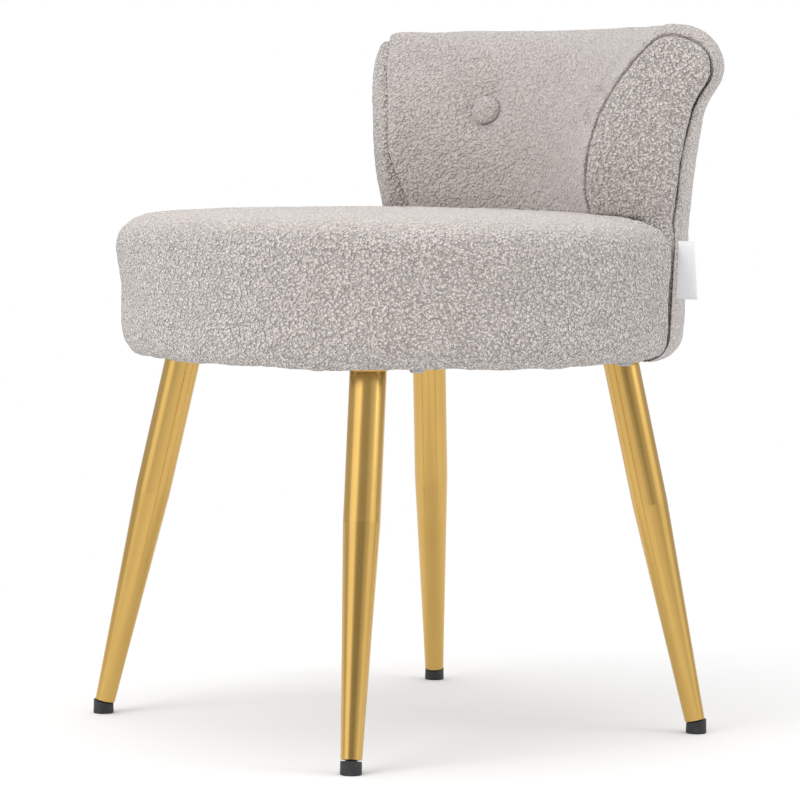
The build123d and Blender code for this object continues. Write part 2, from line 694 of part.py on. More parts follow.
def leg_plate(signs):
    """Three-holed plate with the weld bead that holds the tube."""
    corners = [Pos(x, y) * Circle(PLATE_CORNER) for x, y in plate_holes()]
    outline = make_hull([corner.edge() for corner in corners])
    plate = extrude(Pos(0, 0, PLATE_Z) * outline, PLATE_T)
    for x, y in plate_holes():
        plate -= Pos(x, y, PLATE_Z) * post(BOLT_D + 2 * HOLE_FIT, PLATE_T)
    reach = (PLATE_Z - LEG_TIP_Z) * LEG_STRETCH + LEG_D
    bead = leg_frame(signs) * post(LEG_D + 2 * WELD_LEG, reach)
    bead &= Pos(0, 0, PLATE_Z) * Box(FAR, FAR, WELD_LEG, align=(Align.CENTER, Align.CENTER, Align.MAX))
    bead -= leg_frame(signs) * post(LEG_D, reach)
    bead = chamfer(bead.edges().filter_by_position(Axis.Z, PLATE_Z - WELD_LEG, PLATE_Z - WELD_LEG).sort_by(
        SortBy.LENGTH)[-1:], WELD_LEG * 0.6)
    return plate_frame(signs) * plate + bead


def leg_bolt():
    """Bolt from under the plate up into its tee nut."""
    seat_z = PLATE_Z - WASHER_T
    head = Pos(0, 0, seat_z - BOLT_HEAD_T) * post(BOLT_HEAD_D, BOLT_HEAD_T)
    head = fillet(head.edges().sort_by(Axis.Z)[0], BOLT_HEAD_ROUND)
    return head + Pos(0, 0, seat_z) * post(BOLT_D, BOLT_LENGTH)


def leg_washer():
    """Washer under a bolt head."""
    washer = post(WASHER_D, WASHER_T) - post(BOLT_D + 2 * HOLE_FIT, WASHER_T)
    return Pos(0, 0, PLATE_Z - WASHER_T) * washer


def tee_nut():
    """Tee nut driven into the board from above."""
    flange = Pos(0, 0, BOARD_TOP_Z) * post(TEE_NUT_FLANGE_D, TEE_NUT_FLANGE_T)
    barrel = Pos(0, 0, BOARD_TOP_Z - TEE_NUT_BARREL) * post(TEE_NUT_BARREL_D, TEE_NUT_BARREL)
    return flange + barrel - Pos(0, 0, BOARD_Z) * post(BOLT_D + HOLE_FIT, BOARD_T + TEE_NUT_FLANGE_T)


def leg_insert(signs):
    """Threaded plug pressed into the tip of a leg."""
    bore = (STUD_D + HOLE_FIT) / 2
    low, high = leg_bore_at(0) - HOLE_FIT / 2, leg_bore_at(INSERT_LENGTH) - HOLE_FIT / 2
    outline = Polyline((bore, 0), (low, 0), (high, INSERT_LENGTH), (bore, INSERT_LENGTH), close=True)
    return leg_frame(signs) * spun(outline)


def ball_drop():
    """Distance from a leg's tip down its axis to the middle of the ball."""
    return (LEG_TIP_Z - BALL_Z) * LEG_STRETCH


def glide_stud(signs):
    """Threaded stud with a spanner collar at the leg's tip and a ball at its foot."""
    thread = Pos(0, 0, -FIT) * post(STUD_D, STUD_LENGTH)
    collar = Pos(0, 0, -FIT - COLLAR_T) * extrude(
        RegularPolygon(COLLAR_FLATS / 2, 6, major_radius=False), COLLAR_T
    )
    neck = Pos(0, 0, -ball_drop()) * post(NECK_D, ball_drop() - FIT)
    ball = Pos(0, 0, -ball_drop()) * Sphere(BALL_D / 2)
    return leg_frame(signs) * (thread + collar + neck + ball)


def glide_pad(signs):
    """Foot pad that stands flat on the floor, is cut along the leg's tip and tilts on the stud's ball."""
    x, y, _ = leg_axis_point(signs, BALL_Z)
    low = (Align.CENTER, Align.CENTER, Align.MIN)
    body = Pos(x, y, 0) * Cone(PAD_D / 2, PAD_TOP_D / 2, PAD_BLANK_T, align=low)
    body = fillet(body.edges().sort_by(Axis.Z)[0], PAD_FOOT_ROUND)
    cuts = Pos(0, 0, -PAD_GAP) * Box(FAR, FAR, FAR, align=low)
    cuts += Pos(0, 0, -3 * FIT - COLLAR_T) * post(PAD_RECESS_D, PAD_BLANK_T)
    cuts += Pos(0, 0, -ball_drop()) * (Sphere(BALL_D / 2 + BALL_FIT) + post(PAD_THROAT_D, PAD_BLANK_T))
    return body - leg_frame(signs) * cuts


def build():
    """All pieces by node name."""
    shell = back_shell()
    pieces = {
        "seat_board": seat_board(),
        "seat_foam": seat_foam(),
        "seat_cover": seat_cover(),
        "dust_cover": dust_cover(),
        "dust_cover_staples": [frame * staple() for frame in staple_frames()],
        "back_panel": back_panel(),
        "back_top_rail": back_top_rail(),
        "back_inner_foam": back_foam(inner=True),
        "back_outer_foam": back_foam(inner=False),
        "back_cover": back_cover(shell),
        "panel_screws": [frame * screw(PANEL_SCREW_LENGTH) for frame in panel_screw_frames()],
        "rail_screws": [frame * screw(RAIL_SCREW_LENGTH) for frame in rail_screw_frames()],
        "bracket_screws": [frame * screw(BRACKET_SCREW_LENGTH) for frame in bracket_screw_frames()],
        "leg_bolts": [frame * leg_bolt() for frame in bolt_frames()],
        "leg_washers": [frame * leg_washer() for frame in bolt_frames()],
        "leg_tee_nuts": [frame * tee_nut() for frame in bolt_frames()],
        "side_tag": tag_box(),
    }
    for number, angle in enumerate(RIB_ANGLES, 1):
        pieces[f"back_rib_{number}"] = back_rib(angle)
    for name, side in SIDES.items():
        pieces[f"back_end_panel_{name}"] = back_end_panel(shell, side)
        pieces[f"back_bracket_{name}"] = back_bracket(side)
        pieces[f"tuft_button_{name}"] = tuft_button(side)
        pieces[f"tuft_tie_{name}"] = tuft_tie(side)
    for name, signs in LEGS.items():
        pieces[f"leg_tube_{name}"] = leg_tube(signs)
        pieces[f"leg_plate_{name}"] = leg_plate(signs)
        pieces[f"leg_insert_{name}"] = leg_insert(signs)
        pieces[f"glide_stud_{name}"] = glide_stud(signs)
        pieces[f"glide_pad_{name}"] = glide_pad(signs)
    return pieces


os.makedirs("parts", exist_ok=True)
for node, piece in build().items():
    solids = piece if isinstance(piece, list) else [piece]
    placed = [Pos(0, SEAT_AXIS_Y, 0) * solid for solid in solids]
    export_step(Compound(children=placed), f"parts/{node}.step")
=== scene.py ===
"""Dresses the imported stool: a round cushion with a low scrolled back, covered in light grey looped
pile, on four tapered gold legs with levelling feet.

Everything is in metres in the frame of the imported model: the sitter faces -Y and +Z is up. Angles
round the seat are in degrees, measured from +Y towards +X.
"""
import json
import logging
import math
from collections.abc import Callable
from dataclasses import dataclass, field
from enum import Enum

import bmesh
import bpy
from mathutils import Matrix, Vector, noise


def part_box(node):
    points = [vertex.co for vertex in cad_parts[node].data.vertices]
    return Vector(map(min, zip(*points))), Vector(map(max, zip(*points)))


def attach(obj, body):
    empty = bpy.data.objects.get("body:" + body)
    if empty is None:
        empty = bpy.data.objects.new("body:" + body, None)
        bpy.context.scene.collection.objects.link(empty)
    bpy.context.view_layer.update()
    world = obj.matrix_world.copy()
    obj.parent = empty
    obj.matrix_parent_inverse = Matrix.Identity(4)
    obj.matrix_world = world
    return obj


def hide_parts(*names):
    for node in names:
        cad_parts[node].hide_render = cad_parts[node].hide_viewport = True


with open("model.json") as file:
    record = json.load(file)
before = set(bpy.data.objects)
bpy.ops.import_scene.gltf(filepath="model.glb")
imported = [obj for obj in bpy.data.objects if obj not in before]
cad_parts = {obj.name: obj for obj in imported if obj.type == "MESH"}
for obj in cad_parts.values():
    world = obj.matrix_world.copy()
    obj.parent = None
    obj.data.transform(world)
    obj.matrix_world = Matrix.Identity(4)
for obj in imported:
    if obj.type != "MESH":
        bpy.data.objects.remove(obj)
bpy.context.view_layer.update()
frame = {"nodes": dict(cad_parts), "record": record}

SEAT_AXIS = Vector((0.0, -0.010, 0.0))
BODY = "frame"
log = logging.getLogger("stool")

Triple = tuple[float, float, float]
Colour = Triple
Point = tuple[float, float]
Band = tuple[float, float]

WHITE = (1.0, 1.0, 1.0, 1.0)
WAVE_PERIOD = 0.31  # metres between the stripes of a wave texture at a scale of 1
SAME_POINT = 1e-6
LUMP_RATE = 38.0
LOOP_RATE = 190.0
FACING_UP = (-20.0, 90.0)
FACING_IN = (90.0, 165.0)


class Side(Enum):
    """The two wings of the back, with the sign of their angle."""

    LEFT = -1
    RIGHT = 1


# Shader maths


class Value:
    """A number that runs through a material's nodes; arithmetic on it adds Math nodes."""

    def __init__(self, graph: "Graph", socket: bpy.types.NodeSocket | None) -> None:
        """Wraps an output socket of a graph."""
        self.graph = graph
        self.socket = socket

    def __add__(self, other: "Value | float") -> "Value":
        """Sum."""
        return self.graph.maths("ADD", self, other)

    def __radd__(self, other: float) -> "Value":
        """Sum, with the number first."""
        return self.graph.maths("ADD", other, self)

    def __sub__(self, other: "Value | float") -> "Value":
        """Difference."""
        return self.graph.maths("SUBTRACT", self, other)

    def __rsub__(self, other: float) -> "Value":
        """Difference, with the number first."""
        return self.graph.maths("SUBTRACT", other, self)

    def __mul__(self, other: "Value | float") -> "Value":
        """Product."""
        return self.graph.maths("MULTIPLY", self, other)

    def __rmul__(self, other: float) -> "Value":
        """Product, with the number first."""
        return self.graph.maths("MULTIPLY", other, self)

    def __or__(self, other: "Value | float") -> "Value":
        """The larger of the two."""
        return self.graph.maths("MAXIMUM", self, other)

    def ramp(self, low: float, high: float) -> "Value":
        """Eases from 0 at low to 1 at high.

        Args:
            low: value that gives 0.
            high: value that gives 1; it may be under low.

        Returns:
            The eased value.
        """
        settings = {"interpolation_type": "SMOOTHSTEP"}
        return self.graph.node("ShaderNodeMapRange", settings, {0: self, 1: low, 2: high})


class Graph:
    """The nodes of one material or world."""

    def __init__(self, tree: bpy.types.NodeTree) -> None:
        """Starts from an empty node tree."""
        self.tree = tree
        tree.nodes.clear()

    def node(self, kind: str, settings: dict, sockets: dict, out: int | str = 0) -> Value:
        """Adds one node.

        Args:
            kind: the node's type.
            settings: its properties, set first.
            sockets: values or links of its inputs, by name or number.
            out: the output that is returned.

        Returns:
            The chosen output.
        """
        node = self.tree.nodes.new(kind)
        for name, value in settings.items():
            setattr(node, name, value)
        for key, value in sockets.items():
            if isinstance(value, Value):
                self.tree.links.new(value.socket, node.inputs[key])
            else:
                node.inputs[key].default_value = value
        return Value(self, node.outputs[out] if len(node.outputs) else None)

    def maths(self, operation: str, first: "Value | float", second: "Value | float") -> Value:
        """Adds one Math node."""
        return self.node("ShaderNodeMath", {"operation": operation}, {0: first, 1: second})

    def vector(self, operation: str, sockets: dict, out: int | str = 0) -> Value:
        """Adds one Vector Math node."""
        return self.node("ShaderNodeVectorMath", {"operation": operation}, sockets, out)

    def mix(
        self, share: "Value | float", first: "Value | Colour", second: "Value | Colour"
    ) -> Value:
        """Blends two colours.

        Args:
            share: 0 for the first colour, 1 for the second.
            first: a colour or a link.
            second: a colour or a link.

        Returns:
            The blended colour.
        """
        pair = [c if isinstance(c, Value) else (*c, 1.0) for c in (first, second)]
        sockets = {0: share, 6: pair[0], 7: pair[1]}
        return self.node("ShaderNodeMix", {"data_type": "RGBA"}, sockets, 2)

    def place(self) -> Value:
        """Object coordinates, which are metres in the stool's frame."""
        return self.node("ShaderNodeTexCoord", {}, {}, "Object")

    def stretched(self, place: Value, scale: Triple) -> Value:
        """Coordinates scaled along X, Y and Z."""
        return self.node("ShaderNodeMapping", {}, {"Vector": place, "Scale": scale})

    def noise(self, place: Value, scale: float, detail: float = 2.0, out: str = "Fac") -> Value:
        """Soft noise of a given number of lumps to the metre."""
        sockets = {"Vector": place, "Scale": scale, "Detail": detail}
        return self.node("ShaderNodeTexNoise", {}, sockets, out)

    def swayed(self, place: Value, scale: float, reach: float) -> Value:
        """Coordinates pushed about by noise.

        Args:
            place: the coordinates.
            scale: lumps of the noise to the metre.
            reach: how far a point may be pushed, in metres.

        Returns:
            The pushed coordinates.
        """
        push = self.noise(place, scale, 1.0, "Color")
        centred = self.vector("SUBTRACT", {0: push, 1: (0.5, 0.5, 0.5)})
        return self.vector("MULTIPLY_ADD", {0: centred, 1: (2 * reach,) * 3, 2: place})

    def cells(self, place: Value, scale: float) -> Value:
        """Distance to the middle of the nearest of scattered cells."""
        sockets = {"Vector": place, "Scale": scale}
        return self.node("ShaderNodeTexVoronoi", {"feature": "F1"}, sockets)

    def stripes(self, place: Value, width: float, way: str) -> Value:
        """Soft stripes of a width in metres, one after the other along an axis."""
        sockets = {"Vector": place, "Scale": WAVE_PERIOD / width / 2}
        return self.node("ShaderNodeTexWave", {"bands_direction": way}, sockets, "Fac")

    def bump(self, height: Value, distance: float, strength: float = 1.0) -> Value:
        """Surface normal of a height from 0 to 1 over a distance in metres."""
        sockets = {"Height": height, "Distance": distance, "Strength": strength}
        return self.node("ShaderNodeBump", {}, sockets)

    def surface(self, sockets: dict) -> None:
        """Ends the material in one principled shader."""
        shader = self.node("ShaderNodeBsdfPrincipled", {}, sockets)
        self.node("ShaderNodeOutputMaterial", {}, {"Surface": shader})


def new_material(name: str) -> tuple[bpy.types.Material, Graph]:
    """Starts a material.

    Args:
        name: the material's name.

    Returns:
        The material and the graph that builds it.
    """
    material = bpy.data.materials.new(name)
    material.use_nodes = True
    return material, Graph(material.node_tree)


# Finishes


@dataclass(frozen=True)
class PileFabric:
    """Curly looped pile: round close-set loops, painted shade that darkens the creases between them,
    and a pale sheen.
    Above a height the pile is brushed calm, with less relief and less of the painted crease shade.
    Rates count lumps to the length of a loop."""

    name: str = "pile fabric"
    # gap is the colour of the creases between loops, darkened as painted shade
    gap: Colour = (0.445, 0.382, 0.343)
    tip: Colour = (0.74, 0.676, 0.637)
    loop: float = 0.0027
    sway: float = 0.35
    lump_rate: float = 1.15
    nub_rates: Triple = (0.80, 0.93, 1.1)
    nub_run: Band = (0.15, 0.90)
    nubbed: float = 0.85
    patches_per_metre: float = 26.0
    patchy: float = 0.10
    depth: float = 0.0050
    sheen: float = 0.75
    calm: float = 0.55
    calm_from: float = 0.386
    calm_run: float = 0.022
    calm_level: float = 0.58

    def material(self) -> bpy.types.Material:
        """Builds the fabric.

        Returns:
            The material.
        """
        material, graph = new_material(self.name)
        place = graph.place()
        curled = graph.swayed(place, 1.0 / self.loop, self.sway * self.loop)
        lumps = graph.noise(curled, self.lump_rate / self.loop, 1.0).ramp(0.20, 0.80)
        layers = [
            1 - graph.cells(curled, rate / self.loop).ramp(*self.nub_run) for rate in self.nub_rates
        ]
        nubs = layers[0] | layers[1] | layers[2]
        patches = graph.noise(place, self.patches_per_metre, 3.0).ramp(0.25, 0.75)
        height = graph.node("ShaderNodeSeparateXYZ", {}, {"Vector": place}, "Z")
        calm = height.ramp(self.calm_from, self.calm_from + self.calm_run) * self.calm
        rough = lumps * (1 - self.nubbed) + nubs * self.nubbed
        # Where the pile is calm, an even mid tone takes the place of the painted crease shade.
        loops = rough * (1 - calm) + calm * self.calm_level
        shade = loops * (1 - self.patchy) + patches * self.patchy
        graph.surface({
            # Painted shade: the colour runs from the tip colour on the loops to the dark gap colour
            # in the creases.
            "Base Color": graph.mix(shade, self.gap, self.tip),
            "Roughness": 0.96,
            "Specular IOR Level": 0.15,
            "Sheen Weight": self.sheen,
            "Sheen Roughness": 0.40,
            "Sheen Tint": WHITE,
            "Normal": graph.bump(loops, self.depth),
        })
        return material


@dataclass(frozen=True)
class SatinGold:
    """Satin gold plating with a fine drawn grain along the legs. Rates count lumps to the metre."""

    colour: Colour = (0.655, 0.424, 0.134)
    worn: Colour = (0.622, 0.395, 0.118)
    roughness: float = 0.20
    grain_rate: float = 900.0
    grain_stretch: Triple = (1.0, 1.0, 0.02)
    grain_depth: float = 0.00002
    cloud_rate: float = 14.0

    def material(self) -> bpy.types.Material:
        """Builds the plating.

        Returns:
            The material.
        """
        material, graph = new_material("satin gold plating")
        place = graph.place()
        grain = graph.noise(graph.stretched(place, self.grain_stretch), self.grain_rate)
        cloud = graph.noise(place, self.cloud_rate).ramp(0.3, 0.7)
        graph.surface({
            "Base Color": graph.mix(cloud * 0.6 + grain * 0.4, self.worn, self.colour),
            "Metallic": 1.0,
            "Roughness": grain * 0.06 + cloud * 0.03 + (self.roughness - 0.04),
            "Normal": graph.bump(grain, self.grain_depth, 0.3),
        })
        return material


@dataclass(frozen=True)
class Moulded:
    """Moulded plastic with a fine spark-eroded grain."""

    name: str
    colour: Colour
    roughness: float = 0.55
    grain_rate: float = 2600.0
    grain_depth: float = 0.00005
    dust_rate: float = 140.0

    def material(self) -> bpy.types.Material:
        """Builds the plastic.

        Returns:
            The material.
        """
        material, graph = new_material(self.name)
        place = graph.place()
        grain = graph.noise(place, self.grain_rate)
        dust = graph.noise(place, self.dust_rate, 4.0).ramp(0.45, 0.8)
        dusty = tuple(c * 0.6 + 0.03 for c in self.colour)
        graph.surface({
            "Base Color": graph.mix(dust, self.colour, dusty),
            "Roughness": grain * 0.12 + dust * 0.12 + (self.roughness - 0.1),
            "Normal": graph.bump(grain, self.grain_depth, 0.6),
        })
        return material


@dataclass(frozen=True)
class PlatedSteel:
    """Plated or blackened small steel parts, lightly rubbed."""

    name: str
    colour: Colour
    rubbed: Colour
    metallic: float = 1.0
    roughness: float = 0.32
    spot_rate: float = 420.0
    scratch_rate: float = 2100.0
    scratch_stretch: Triple = (1.0, 0.08, 1.0)
    scratch_depth: float = 0.00003

    def material(self) -> bpy.types.Material:
        """Builds the steel.

        Returns:
            The material.
        """
        material, graph = new_material(self.name)
        place = graph.place()
        spots = graph.noise(place, self.spot_rate, 4.0).ramp(0.35, 0.7)
        scratches = graph.noise(graph.stretched(place, self.scratch_stretch), self.scratch_rate)
        graph.surface({
            "Base Color": graph.mix(spots * 0.7 + scratches * 0.3, self.colour, self.rubbed),
            "Metallic": self.metallic,
            "Roughness": scratches * 0.16 + spots * 0.08 + (self.roughness - 0.12),
            "Normal": graph.bump(scratches, self.scratch_depth, 0.5),
        })
        return material


@dataclass(frozen=True)
class Plywood:
    """Bare plywood: long grain on the faces and thin plies through the thickness."""

    pale: Colour = (0.62, 0.43, 0.25)
    dark: Colour = (0.44, 0.275, 0.14)
    ply: float = 0.0015
    grain_rate: float = 260.0
    grain_stretch: Triple = (0.06, 1.0, 1.0)
    grain_depth: float = 0.00015

    def material(self) -> bpy.types.Material:
        """Builds the wood.

        Returns:
            The material.
        """
        material, graph = new_material("bare plywood")
        place = graph.place()
        grain = graph.noise(graph.stretched(place, self.grain_stretch), self.grain_rate, 5.0)
        plies = graph.stripes(place, self.ply, "Z")
        graph.surface({
            "Base Color": graph.mix(grain.ramp(0.3, 0.7) * 0.7 + plies * 0.3, self.dark, self.pale),
            "Roughness": 0.62 + grain * 0.2,
            "Normal": graph.bump(grain, self.grain_depth, 0.6),
        })
        return material


@dataclass(frozen=True)
class Foam:
    """Open-cell cushion foam."""

    pale: Colour = (0.84, 0.80, 0.66)
    pore: Colour = (0.60, 0.54, 0.40)
    pore_rate: float = 900.0
    pore_depth: float = 0.0004

    def material(self) -> bpy.types.Material:
        """Builds the foam.

        Returns:
            The material.
        """
        material, graph = new_material("cushion foam")
        pores = graph.cells(graph.place(), self.pore_rate).ramp(0.1, 0.5)
        graph.surface({
            "Base Color": graph.mix(pores, self.pore, self.pale),
            "Roughness": 0.9,
            "Normal": graph.bump(pores, self.pore_depth),
        })
        return material


@dataclass(frozen=True)
class Woven:
    """Thin cloth, tape or twine with crossing threads."""

    name: str
    colour: Colour
    shade: Colour
    thread: float = 0.0005
    thread_depth: float = 0.00012
    fuzz_rate: float = 900.0

    def material(self) -> bpy.types.Material:
        """Builds the cloth.

        Returns:
            The material.
        """
        material, graph = new_material(self.name)
        place = graph.place()
        threads = [graph.stripes(place, self.thread, way) for way in ("X", "Y", "Z")]
        weave = (threads[0] + threads[1] + threads[2]) * 0.333
        fuzz = graph.noise(place, self.fuzz_rate, 3.0)
        height = weave * 0.7 + fuzz * 0.3
        graph.surface({
            "Base Color": graph.mix(height.ramp(0.2, 0.8), self.shade, self.colour),
            "Roughness": 0.78 + fuzz * 0.15,
            "Normal": graph.bump(height, self.thread_depth, 0.7),
        })
        return material


# Modelling tools


class Pen:
    """Draws a section in the XZ plane of a bmesh by extruding its tip along lines and arcs."""

    def __init__(self, bm: bmesh.types.BMesh, start: Point) -> None:
        """Puts the first point down."""
        self.bm = bm
        self.first = self.tip = bm.verts.new((start[0], 0.0, start[1]))

    def reach(self, end: Point) -> None:
        """Extrudes the tip to a point, unless it is there already.

        Args:
            end: the point, as radius and height.
        """
        place = Vector((end[0], 0.0, end[1]))
        if (place - self.tip.co).length > SAME_POINT:
            self.tip = bmesh.ops.extrude_vert_indiv(self.bm, verts=[self.tip])["verts"][0]
            self.tip.co = place

    def line(self, end: Point, steps: int = 1) -> "Pen":
        """Draws a straight run.

        Args:
            end: where the run ends, as radius and height.
            steps: edges of the run.

        Returns:
            The pen.
        """
        start, last = self.tip.co.copy(), Vector((end[0], 0.0, end[1]))
        for step in range(1, steps + 1):
            place = start.lerp(last, step / steps)
            self.reach((place.x, place.z))
        return self

    def arc(self, centre: Point, sweep: float, steps: int) -> "Pen":
        """Draws an arc.

        Args:
            centre: the arc's centre, as radius and height.
            sweep: degrees, positive from outward to up.
            steps: edges of the arc.

        Returns:
            The pen.
        """
        arm = (self.tip.co.x - centre[0], self.tip.co.z - centre[1])
        radius, start = math.hypot(*arm), math.degrees(math.atan2(arm[1], arm[0]))
        for step in range(1, steps + 1):
            self.reach(polar(centre, radius, start + sweep * step / steps))
        return self

    def close(self) -> None:
        """Joins the tip to the first point."""
        self.bm.edges.new((self.tip, self.first))


def polar(centre: Point, radius: float, angle: float) -> Point:
    """Point at an angle in degrees from a centre; 0 is outward and 90 is up."""
    a = math.radians(angle)
    return centre[0] + radius * math.cos(a), centre[1] + radius * math.sin(a)


def eased(value: float, low: float, high: float) -> float:
    """Smooth step from 0 at low to 1 at high."""
    t = min(1.0, max(0.0, (value - low) / (high - low)))
    return t * t * (3.0 - 2.0 * t)


def hump(value: float, rise: Band, fall: Band) -> float:
    """Smooth hill that goes up over one band and down over the other."""
    return eased(value, *rise) * (1 - eased(value, *fall))


def slope_up(value: float, start: float, run: float) -> float:
    """Straight ramp from 0 at a start to 1 at the end of its run."""
    return min(1.0, max(0.0, (value - start) / run))


def cylindrical(place: Vector) -> Triple:
    """Angle in degrees, radius and height of a point about the seat's axis."""
    side = place - SEAT_AXIS
    return math.degrees(math.atan2(side.x, side.y)), math.hypot(side.x, side.y), place.z


def on_seat(angle: float, radius: float, height: float) -> Vector:
    """Point at an angle in degrees, a radius and a height about the seat's axis."""
    a = math.radians(angle)
    return SEAT_AXIS + Vector((radius * math.sin(a), radius * math.cos(a), height))


def only(kind: type, items: list) -> list:
    """The items of one kind, such as the points, among those that an operator made."""
    return [item for item in items if isinstance(item, kind)]


def turn_to(bm: bmesh.types.BMesh, points: list[bmesh.types.BMVert], angle: float) -> None:
    """Turns points drawn in the XZ plane to an angle in degrees round the seat."""
    turn = Matrix.Rotation(math.radians(90 - angle), 3, "Z")
    bmesh.ops.rotate(bm, verts=points, cent=(0, 0, 0), matrix=turn)


def spin(
    bm: bmesh.types.BMesh, outline: list[bmesh.types.BMEdge], angle: float, steps: int
) -> list[bmesh.types.BMEdge]:
    """Spins an outline about the upright axis, and closes a full turn.

    Args:
        bm: the bmesh, which holds nothing but the outline.
        outline: its edges.
        angle: degrees of the spin.
        steps: faces round the spin.

    Returns:
        The edges at the spin's end.
    """
    spun = bmesh.ops.spin(
        bm, geom=bm.verts[:] + outline, cent=(0, 0, 0), axis=(0, 0, 1),
        angle=math.radians(angle), steps=steps, use_merge=angle == 360, use_duplicate=False,
    )
    return only(bmesh.types.BMEdge, spun["geom_last"])


def in_order(bm: bmesh.types.BMesh) -> None:
    """Sorts edges and faces by their points, so that a simulation is the same in each run.

    Args:
        bm: the shape.
    """
    bm.verts.index_update()
    for group in (bm.edges, bm.faces):
        ranked = sorted(group, key=lambda item: sorted(vertex.index for vertex in item.verts))
        for number, item in enumerate(ranked):
            item.index = number
        group.sort()


def new_piece(bm: bmesh.types.BMesh, name: str) -> bpy.types.Object:
    """Turns a bmesh into a piece with outward faces and smooth shading.

    Args:
        bm: the shape, which is freed.
        name: the piece's name.

    Returns:
        The piece, at the origin.
    """
    bmesh.ops.remove_doubles(bm, verts=bm.verts, dist=SAME_POINT)
    bmesh.ops.recalc_face_normals(bm, faces=bm.faces)
    in_order(bm)
    mesh = bpy.data.meshes.new(name)
    bm.to_mesh(mesh)
    bm.free()
    for edge in mesh.edges:
        edge.vertices = sorted(edge.vertices)
    mesh.shade_smooth()
    piece = bpy.data.objects.new(name, mesh)
    bpy.context.scene.collection.objects.link(piece)
    return piece


def modify(piece: bpy.types.Object, kind: str, settings: dict) -> None:
    """Adds a modifier and applies it at once.

    Args:
        piece: the piece.
        kind: the modifier's type.
        settings: its properties.
    """
    modifier = piece.modifiers.new(kind.lower(), kind)
    for name, value in settings.items():
        setattr(modifier, name, value)
    graph = bpy.context.evaluated_depsgraph_get()
    done = bpy.data.meshes.new_from_object(piece.evaluated_get(graph))
    piece.modifiers.remove(modifier)
    old, piece.data = piece.data, done
    bpy.data.meshes.remove(old)
    done.name = piece.name
    done.shade_smooth()


def subdivide(piece: bpy.types.Object) -> None:
    """Rounds a piece by one subdivision."""
    modify(piece, "SUBSURF", {"levels": 1, "render_levels": 1})


def remesh(piece: bpy.types.Object, voxel: float) -> None:
    """Gives a piece even faces of a size and eases its steps."""
    modify(piece, "REMESH", {"mode": "VOXEL", "voxel_size": voxel})
    modify(piece, "SMOOTH", {"factor": 0.5, "iterations": 2})


def move_points(piece: bpy.types.Object, move: Callable[[Vector, Vector], Vector]) -> None:
    """Moves every point of a piece, as a sculptor's brush does.

    Args:
        piece: the piece.
        move: gives a point's new place from its place and normal.
    """
    mesh = piece.data
    moved = [move(v.co.copy(), v.normal.copy()) for v in mesh.vertices]
    for vertex, place in zip(mesh.vertices, moved):
        vertex.co = place
    mesh.update()


def inflate(
    piece: bpy.types.Object,
    held: Callable[[int], bool],
    cap: float,
    pressure: float = 4.0,
    frames: int = 20,
) -> None:
    """Lets the air pressure of a short cloth simulation fill a cover.

    Args:
        piece: the cover.
        held: tells by its number whether a point is sewn down.
        cap: how far a point may move.
        pressure: the pressure inside.
        frames: length of the simulation.
    """
    scene = bpy.context.scene
    start = [v.co.copy() for v in piece.data.vertices]
    group = piece.vertex_groups.new(name="sewn")
    group.add([number for number in range(len(start)) if held(number)], 1.0, "REPLACE")
    cloth = piece.modifiers.new("cover", "CLOTH")
    cloth.settings.quality = 5
    cloth.settings.use_pressure = True
    cloth.settings.uniform_pressure_force = pressure
    cloth.settings.vertex_group_mass = group.name
    cloth.settings.effector_weights.gravity = 0.0
    cloth.point_cache.frame_start = 1
    cloth.point_cache.frame_end = frames
    for number in range(1, frames + 1):
        scene.frame_set(number)
    filled = piece.evaluated_get(bpy.context.evaluated_depsgraph_get()).to_mesh()
    ends = [v.co.copy() for v in filled.vertices]
    piece.modifiers.remove(cloth)
    piece.vertex_groups.remove(group)
    scene.frame_set(1)
    for vertex, first, last in zip(piece.data.vertices, start, ends):
        step = last - first
        vertex.co = first + step * min(1.0, cap / max(step.length, 1e-9))
    piece.data.update()


def raise_pile(piece: bpy.types.Object, lumps: float = 0.0006, loops: float = 0.0005) -> None:
    """Makes a smooth cover uneven: slow lumps of the filling and the first order of the loops.

    Args:
        piece: the cover.
        lumps: height of the lumps.
        loops: height of the loops.
    """
    def move(place: Vector, normal: Vector) -> Vector:
        """Lifts one point."""
        slow, quick = noise.noise(place * LUMP_RATE), noise.noise(place * LOOP_RATE)
        return place + normal * (slow * lumps + quick * loops)

    move_points(piece, move)


def dress(
    piece: bpy.types.Object, material: bpy.types.Material, slot: str, *nodes: str
) -> bpy.types.Object:
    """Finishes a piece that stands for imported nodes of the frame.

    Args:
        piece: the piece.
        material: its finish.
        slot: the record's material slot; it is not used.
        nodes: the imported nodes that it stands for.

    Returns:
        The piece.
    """
    piece.data.materials.clear()
    piece.data.materials.append(material)
    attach(piece, BODY)
    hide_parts(*nodes)
    log.info("%s: %d faces", piece.name, len(piece.data.polygons))
    return piece


# Upholstery


